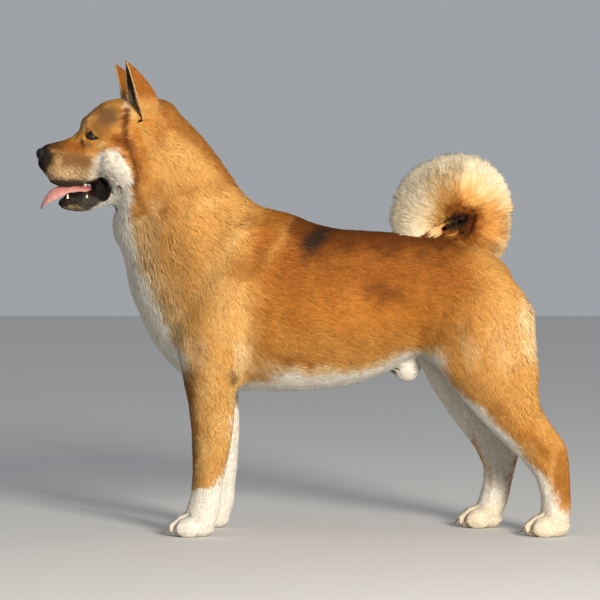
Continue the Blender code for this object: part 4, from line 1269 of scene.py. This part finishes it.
def body_coat(skin):
    """The tufts over all but the tail and the ears."""
    _, _, root, normal, uv = skin.rooted(body_density(skin))
    lie, length, depth = coat_field(root)
    count = len(root)
    half, _ = mirrored_half(root)
    trim = smooth(0.002, 0.010, eye_gap(half)) * 0.65 + 0.35
    near_mouth = patch(half[:, 0], half[:, 2], (-0.419, 0.708), (0.030, 0.042)) * (half[:, 0] < -0.38)
    trim = np.where(half[:, 0] < -0.37, trim * (1 - 0.6 * near_mouth), 1.0)
    length = length * np.interp(length, (0.020, 0.026), (0.88, 0.74)) * trim * RNG.uniform(0.75, 1.15, count)
    mound = on_rump_top(root)
    length = length * (1 - 0.55 * mound)
    depth = depth * (0.5 + 0.5 * trim) * (1 - 0.5 * mound)
    lie = unit(mix(lie, np.array((0.6, 0.0, -0.8)), mound))
    lie = tangent(lie, normal)
    across = np.cross(normal, lie)
    sway = 0.30 * waves(root, 0.05, 41) + 0.25 * waves(root, 0.016, 42) + RNG.normal(0, 0.16, count)
    lie = unit(lie + across * sway[:, None])
    high = RNG.uniform(0.72, 1.05, count)
    middle, middle_normal = skin.nearest(root + lie * (length * 0.48)[:, None])
    # In a fold the nearest skin can be the other side's
    across_fold = (middle_normal * normal).sum(1) < 0.5
    middle = np.where(across_fold[:, None], root + lie * (length * 0.25)[:, None], middle)
    middle_normal = np.where(across_fold[:, None], normal, middle_normal)
    length = np.where(across_fold, 0.5 * length, length)
    onward = tangent(lie, middle_normal)
    middle = middle + middle_normal * (depth * high * 0.62)[:, None]
    tip, tip_normal = skin.nearest(middle + onward * (length * 0.5)[:, None])
    past_fold = across_fold | ((tip_normal * middle_normal).sum(1) < 0.2)
    tip = np.where(past_fold[:, None], middle + onward * (length * 0.4)[:, None], tip)
    tip = tip + middle_normal * (depth * high)[:, None]
    width = (0.0010 + length * WIDTH_SHARE) * RNG.uniform(0.75, 1.3, count)
    # Under the jaw the tufts turn their upper sides outwards, so that none shows its underside
    fold = smooth(0.050, 0.034, np.hypot(half[:, 0] + 0.415, half[:, 2] - 0.674))
    fold = fold * smooth(0.085, 0.070, half[:, 1])
    outwards = np.stack((np.full(count, -0.7), 0.55 * np.sign(root[:, 1]), np.full(count, -0.25)), 1)
    middle_normal = unit(mix(middle_normal, unit(outwards), 0.75 * fold))
    tip = middle + (tip - middle) * (1 - 0.35 * fold)[:, None]
    root = root - normal * ROOT_DEPTH
    names = piece_names(root)
    tufts = (root, middle, tip, middle_normal, width, markings(root), uv)
    for name in sorted(set(names)):
        coat_piece(name, names == name, *tufts)


def ear_coat(skin):
    """Short tufts that point to each ear's tip, standing out in a fringe along the rims."""
    rooted = skin.rooted(np.where(skin.on_ear, EAR_TUFTS, 0.0))
    half, flip = mirrored_half(rooted[2])
    keep = (half[:, 2] > 0.856) & (half[:, 2] < 0.965)
    faces, shares, root, normal, uv, half, flip = (values[keep] for values in (*rooted, half, flip))
    count = len(root)
    part = skin.spread(skin.ear_part, faces, shares)
    rim = skin.spread(skin.ear_rim, faces, shares)
    edge = smooth(0.006, 0.001, rim)
    low = smooth(0.915, 0.870, half[:, 2])
    up = EAR_TIP - half
    axis = EAR_ROOT + (EAR_TIP - EAR_ROOT) * np.clip((half[:, 2] - 0.866) / 0.102, 0, 1)[:, None]
    outward = unit(half - axis) * np.array((1.0, 1.0, 0.2))
    lie = unit(unit(up) + outward * (0.10 + 0.10 * edge)[:, None])
    lie[:, 1] *= flip
    lie = tangent(yawed(lie, HEAD_YAW), normal)
    length = (0.0055 + 0.004 * low) * RNG.uniform(0.7, 1.15, count)
    # Longer pale hair grows inside the cup, along its rims and at its foot
    hair = smooth(0.920, 0.890, half[:, 2]) * smooth(0.013, 0.007, rim)
    hair = (part > 0.5) * np.maximum(hair, 0.8 * smooth(0.892, 0.872, half[:, 2]))
    length = length * (1 + 0.8 * hair)
    lift = 0.0007 + 0.0004 * edge + 0.003 * hair
    middle = root + lie * (length * 0.5)[:, None] + normal * (0.7 * lift)[:, None]
    tip = root + lie * length[:, None] + normal * lift[:, None]
    width = 0.0011 * RNG.uniform(0.75, 1.3, count)
    base = mix(ear_colours(root, part, rim), CREAM, 0.8 * hair)
    coat_piece("coat_ears", slice(None), root - normal * 0.0004, middle, tip, normal, width, base, uv)


def tail_coat(skin):
    """Soft tufts that lie outwards over the tail's flat sides and stand out as a fringe round its rim."""
    density = np.where(in_tail(skin.centres) > 0.5, TAIL_TUFTS, 0.0)
    _, _, root, normal, uv = skin.rooted(density)
    count = len(root)
    out, reach, angle, fringe, half = tail_frame(root)
    edge = (normal * out).sum(1)
    inward = smooth(0.15, 0.6, -edge)
    full = reach / (fringe - TAIL_DEPTH)
    ragged = 1 + 0.035 * waves(root, 0.012, 52) + RNG.normal(0, 0.02, count)
    length = np.minimum(0.016 + 0.030 * full, 0.965 * fringe * ragged - reach)
    length = length * np.where(edge < 0.6, RNG.uniform(0.65, 1.1, count), 1.0)
    length = np.maximum(length * (1 - 0.62 * inward), 0.004)
    # By the tip of the tail the fur lies forwards and down over the back
    near_tip = smooth(165, 195, angle) * smooth(0.085, 0.060, reach)
    out = unit(mix(out, unit(np.array(((-1.0, 0.0, -0.35),))), near_tip))
    inward = inward * (1 - near_tip)
    spin = np.stack((-out[:, 2], np.zeros(count), out[:, 0]), 1)
    wander = RNG.normal(0, 0.13, count) + 0.22 * waves(root, 0.025, 51)
    go = unit(out * (1 - 1.1 * inward)[:, None] + normal * 0.40 + spin * wander[:, None])
    # Round the rim both sides' tufts lean over the middle
    go[:, 1] *= 1 - 1.5 * smooth(0.35, 0.85, edge)
    middle = root + go * (length * 0.45)[:, None] + normal * (length * 0.06)[:, None]
    tip = root + unit(go + out * (0.45 * (1 - inward))[:, None]) * length[:, None]
    far = np.linalg.norm((tip - TAIL_CENTRE)[:, ::2], axis=1) / (fringe * 1.06)
    limit = np.maximum(half * np.sqrt(np.clip(1 - far**4, 0.02, 1)), 0.005)
    limit = limit * RNG.uniform(0.85, 1.05, count)
    tip[:, 1] = np.clip(tip[:, 1], -limit, limit)
    width = (0.0009 + length * 0.014) * RNG.uniform(0.75, 1.3, count)
    base = tail_colours(root + go * (0.7 * length)[:, None])
    root = root - normal * ROOT_DEPTH
    facing = unit(normal * np.array((0.45, 1.5, 0.8)) + 0.2 * out)
    for name, pick in (("coat_tail_left", root[:, 1] < 0), ("coat_tail_right", root[:, 1] >= 0)):
        coat_piece(name, pick, root, middle, tip, facing, width, base, uv)


# ---------------------------------------------------------------- eyes, nose, mouth and claws


def ball(detail):
    """A fine sphere of unit size: its mesh and its points."""
    bm = bmesh.new()
    bmesh.ops.create_icosphere(bm, subdivisions=detail, radius=1.0)
    mesh = mesh_from(bm, "ball")
    mesh.shade_smooth()
    return mesh, unit(places(mesh))


def add_piece(mesh, name, material, slot, *nodes):
    """A piece of the still model, in place of the nodes given."""
    mesh.name = name
    obj = new_object(mesh, name)
    mesh.materials.append(material)
    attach(obj, "root")
    if nodes:
        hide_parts(*nodes)


def eye_material():
    material, tree, shader = node_material(
        "eye", Roughness=0.20, Specular_IOR_Level=0.25, Coat_Weight=0.45, Coat_Roughness=0.04
    )
    colour_from_mesh(tree, shader, 900.0, 0.75, 1.2)
    return material


def make_eyes():
    """Eyeballs with a domed front, a dark streaked iris and a black pupil."""
    finish = eye_material()
    for word, side in SIDES.items():
        mesh, way = ball(5)
        flip = np.array((1.0, side, 1.0))
        gaze = GAZE * flip
        off = np.arccos(np.clip(way @ gaze, -1, 1))
        dome = 1 + 0.045 * np.exp(-(off / 0.45) ** 2)
        straight = EYE_CENTRE * flip + way * EYE_RADIUS * dome[:, None]
        set_places(mesh, head_turned(straight))
        across = np.cross(way, gaze)
        spin = np.arctan2(across[:, 2], across[:, 0])
        streaks = 0.5 + 0.5 * np.sin(37 * spin) * np.sin(13 * spin + 1.0)
        iris = mix(rgb(0.018, 0.008, 0.003), rgb(0.045, 0.018, 0.006), streaks)
        colours = mix(rgb(0.42, 0.36, 0.30), BLACK, smooth(1.05, 0.85, off))
        colours = mix(colours, iris, smooth(0.80, 0.74, off))
        colours = mix(colours, rgb(0.003, 0.003, 0.003), smooth(0.40, 0.36, off))
        paint(mesh, colours)
        add_piece(mesh, f"eyeball_{word}", finish, "eye_brown", f"eye_{word}")


def nose_material():
    """Black leather in small raised cells."""
    material, tree, shader = node_material("nose", Roughness=0.46, Specular_IOR_Level=0.35)
    black = rgb(0.0045, 0.0045, 0.005)
    cells = tree.nodes.new("ShaderNodeTexVoronoi")
    cells.inputs["Scale"].default_value = NOSE_CELLS
    coords = tree.nodes.new("ShaderNodeTexCoord")
    tree.links.new(coords.outputs["Object"], cells.inputs["Vector"])
    colour_between(tree, shader, black * 0.55, black * 1.5, 0.4 * NOSE_CELLS)
    bumped(tree, shader, ranged(tree, cells.outputs["Distance"], 0.0, 0.6, 1.0, 0.0), 0.7, 0.0006)
    return material


def make_nose():
    """The nose leather: a rounded block with comma-shaped nostrils and a groove between them."""
    mesh, way = ball(6)
    boxy = 2.6  # 2 would be round, and more is squarer
    p = way * ((np.abs(way) ** boxy).sum(1) ** (-1 / boxy))[:, None]
    x, y, z = p.T
    narrow = 1 - 0.26 * smooth(0.2, -1.0, z)
    # The front slopes back towards the lip
    slope = np.where(x < 0, 1 - 0.30 * smooth(0.3, -1.0, z), 1.0)
    p = np.stack((x * slope, y * narrow, z), 1) * NOSE_SIZE
    side, up = np.abs(p[:, 1]), p[:, 2].copy()
    hole = np.exp(-((side - 0.0078) / 0.0030) ** 2 - ((up - 0.0016) / 0.0032) ** 2)
    tail = up + 0.0022 - 0.25 * (side - 0.008)
    slit = np.exp(-((side - 0.0125) / 0.0042) ** 2 - (tail / 0.0014) ** 2)
    front = smooth(0.2, -0.3, x)
    p[:, 0] += (0.0062 * hole + 0.0036 * slit) * front
    groove = np.exp(-(p[:, 1] / 0.0009) ** 2) * smooth(0.004, -0.002, up) * front
    p[:, 0] += 0.0014 * groove
    wing = np.exp(-((side - 0.0078) ** 2 + (up - 0.007) ** 2) / 0.0035**2)
    p += unit(way) * (0.0006 * wing)[:, None]
    set_places(mesh, head_turned(NOSE_CENTRE + p))
    add_piece(mesh, "nose_leather", nose_material(), "nose_leather", "nose")


# The tongue from its root to its tip: x and z of its ridge, half width, how far its edges hang, thickness
TONGUE_RIBS = np.array((
    (-0.412, 0.7010, 0.0170, 0.0050, 0.0060),
    (-0.450, 0.7145, 0.0215, 0.0120, 0.0070),
    (-0.480, 0.7165, 0.0225, 0.0150, 0.0048),
    (-0.503, 0.7140, 0.0240, 0.0220, 0.0040),
    (-0.520, 0.7050, 0.0245, 0.0220, 0.0038),
    (-0.5315, 0.6900, 0.0215, 0.0130, 0.0036),
    (-0.5385, 0.6770, 0.0150, 0.0060, 0.0030),
    (-0.5405, 0.6690, 0.0050, 0.0015, 0.0022),
))
TONGUE_RINGS = 60


def tongue_mesh():
    """A soft sheet over the lower teeth, grooved down its middle, with a drooping tip. Also how far
    along it each vertex is, and how far across."""
    rows = np.arange(len(TONGUE_RIBS))
    steps = np.linspace(0, rows[-1], TONGUE_RINGS)
    ribs = np.stack([np.interp(steps, rows, column) for column in TONGUE_RIBS.T], 1)
    for _ in range(6):
        ribs[1:-1] = (ribs[:-2] + 2 * ribs[1:-1] + ribs[2:]) / 4
    across = np.linspace(-1, 1, 25)
    ahead = np.gradient(ribs[:, :2], axis=0)
    ahead /= np.linalg.norm(ahead, axis=1, keepdims=True)
    up = np.stack((ahead[:, 1], -ahead[:, 0]), 1)
    bm = bmesh.new()
    rings = []
    shares = []
    for k, (x, z, half, hang, thick) in enumerate(ribs):
        ring = []
        for face, line in ((1, across), (-1, across[::-1])):
            for u in line:
                edge = math.sqrt(max(1 - u * u, 0.0))
                sag = hang * abs(u) ** 1.8
                groove = 0.0014 * math.exp(-(u / 0.10) ** 2) if face == 1 else 0
                rise = face * thick / 2 * edge**0.6 - groove
                ripple = 0.0006 * math.sin(k * 0.9 + 3 * u)
                at = (x + up[k, 0] * rise, u * half, z + up[k, 1] * rise - sag + ripple)
                ring.append(bm.verts.new(head_turned(at)))
                shares.append((k / (TONGUE_RINGS - 1), abs(u)))
        rings.append(ring)
    join_rings(bm, rings)
    bmesh.ops.recalc_face_normals(bm, faces=bm.faces[:])
    mesh = mesh_from(bm, "tongue_flesh")
    mesh.shade_smooth()
    return mesh, np.array(shares).T


def make_tongue():
    """The tongue: pink, with painted shade darkening its root and turning its hanging tip grey, and a painted
    highlight making it paler along its edges.
    """
    mesh, (along, across) = tongue_mesh()
    # Painted shade darkens the root and the tip, and a painted highlight lightens the edges
    colours = mix(rgb(0.62, 0.25, 0.22), rgb(0.30, 0.060, 0.050), smooth(0.30, 0.0, along))
    colours = mix(colours, rgb(0.75, 0.45, 0.40), 0.5 * smooth(0.7, 1.0, across))
    colours = mix(colours, rgb(0.14, 0.12, 0.13), 0.75 * smooth(0.84, 0.97, along))
    paint(mesh, colours)
    material, tree, shader = node_material(
        "tongue", Roughness=0.38, Specular_IOR_Level=0.5, Subsurface_Weight=0.15, Coat_Weight=0.3,
        Subsurface_Radius=(0.004, 0.0015, 0.001), Subsurface_Scale=1.0,
    )
    colour_from_mesh(tree, shader)
    bumped(tree, shader, noise(tree, 1400.0, 2.0), 0.5, 0.0005)
    add_piece(mesh, "tongue_flesh", material, "tongue_flesh", "tongue")


def horn(bm, base, tip, radius, bend):
    """A curved cone from its base to a blunt tip."""
    base, tip = np.array(base), np.array(tip)
    shares = np.linspace(0, 1, 7)
    path = [base + (tip - base) * t + np.array(bend) * 4 * t * (1 - t) for t in shares]
    radii = [radius * (1 - t) ** 0.7 + 0.0004 for t in shares]
    tube_into(bm, path, radii, 12)


def horn_piece(bm, name, finish, pale, dark, *nodes):
    """A piece of teeth or claws, whose finish varies from pale to dark."""
    material, tree, shader = node_material(
        finish, Roughness=0.35, Specular_IOR_Level=0.5, Coat_Weight=0.2
    )
    colour_between(tree, shader, dark, pale, 320.0)
    bumped(tree, shader, noise(tree, 900.0, 2.0), 0.3, 0.0003)
    bmesh.ops.recalc_face_normals(bm, faces=bm.faces[:])
    mesh = mesh_from(bm, name)
    mesh.shade_smooth()
    add_piece(mesh, name, material, "claw_horn", *nodes)


# The teeth that show: x, distance from the middle, root z, tip z, radius
TEETH = [
    (-0.4885, 0.0215, 0.6880, 0.6975, 0.0025),
    (-0.4535, 0.0325, 0.7180, 0.7130, 0.0024),
    (-0.4500, 0.0295, 0.6900, 0.6965, 0.0022),
]


def make_teeth():
    """The canines and the small teeth, joined."""
    bm = bmesh.new()
    for side in SIDES.values():
        for x, across, root, tip, radius in TEETH:
            ends = head_turned(np.array(((x, side * across, root), (x + 0.001, side * across, tip))))
            horn(bm, ends[0], ends[1], radius, (-0.0006, 0, 0))
    horn_piece(bm, "teeth", "enamel", rgb(0.86, 0.82, 0.72), rgb(0.74, 0.66, 0.50))


def make_claws():
    """A bent claw in each claw node's box, joined."""
    bm = bmesh.new()
    names = [name for name in NODES if "claw" in name]
    for name in names:
        low, high = (np.array(corner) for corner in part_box(name))
        y = (low[1] + high[1]) / 2
        radius = min((high[1] - low[1]) / 2, 0.0031)
        base = (high[0] + 0.003, y, high[2] - radius)
        tip = (low[0] + 0.0006, y, low[2] + 0.0006)
        horn(bm, base, tip, radius, (0, 0, 0.0022))
    horn_piece(bm, "claws", "claw", rgb(0.42, 0.34, 0.26), rgb(0.10, 0.07, 0.05), *names)


# ---------------------------------------------------------------- building it

COAT_FINISH = coat_material("coat", bumpy=False)
skin_object = make_skin()
refined(skin_object, from_face, -0.385)
refined(skin_object, from_eye, 0.020)
refined(skin_object, from_eye, 0.017)
sculpt(skin_object)
add_ears(skin_object)
unwrap(skin_object)
finish_skin(skin_object)
skin = Skin(skin_object)
body_coat(skin)
ear_coat(skin)
tail_coat(skin)
make_eyes()
make_nose()
make_tongue()
make_teeth()
make_claws()

# ---------------------------------------------------------------- the stage


def make_stage():
    """A plain pale floor, and soft light from all round."""
    bm = bmesh.new()
    bmesh.ops.create_grid(bm, x_segments=2, y_segments=2, size=12.0)
    mesh = mesh_from(bm, "floor")
    material, _, shader = node_material("floor", Roughness=0.85, Specular_IOR_Level=0.2)
    shader.inputs["Base Color"].default_value = (0.72, 0.71, 0.69, 1)
    mesh.materials.append(material)
    floor = new_object(mesh, "floor")
    world = bpy.context.scene.world or bpy.data.worlds.new("world")
    bpy.context.scene.world = world
    world.use_nodes = True
    background = world.node_tree.nodes["Background"]
    background.inputs["Color"].default_value = (0.82, 0.86, 0.92, 1)
    background.inputs["Strength"].default_value = 0.42


def make_key_light():
    """A soft warm lamp before the dog's left side and to its rear, aimed at its middle."""
    light = bpy.data.lights.new("key", "AREA")
    light.size = 1.2
    light.energy = 435
    light.color = (1.0, 0.93, 0.82)
    obj = new_object(light, "key")
    obj.location = (2.2, -5.2, 1.8)
    aim = Vector((0.0, 0.0, 0.45))
    obj.rotation_euler = (aim - obj.location).to_track_quat("-Z", "Y").to_euler()


def make_camera():
    """A long lens 7 m away at about the height of the dog's back, looking slightly down."""
    camera = bpy.data.cameras.new("camera")
    camera.lens = 203.7  # millimetres, as the sensor's width is
    camera.sensor_width = 36.0
    obj = new_object(camera, "camera")
    obj.location = (-0.006, -7.0, 0.7058)
    obj.rotation_euler = (math.radians(90 - 1.856), 0, 0)
    bpy.context.scene.camera = obj


make_stage()
make_key_light()
bpy.context.scene.view_settings.view_transform = "Standard"
make_camera()
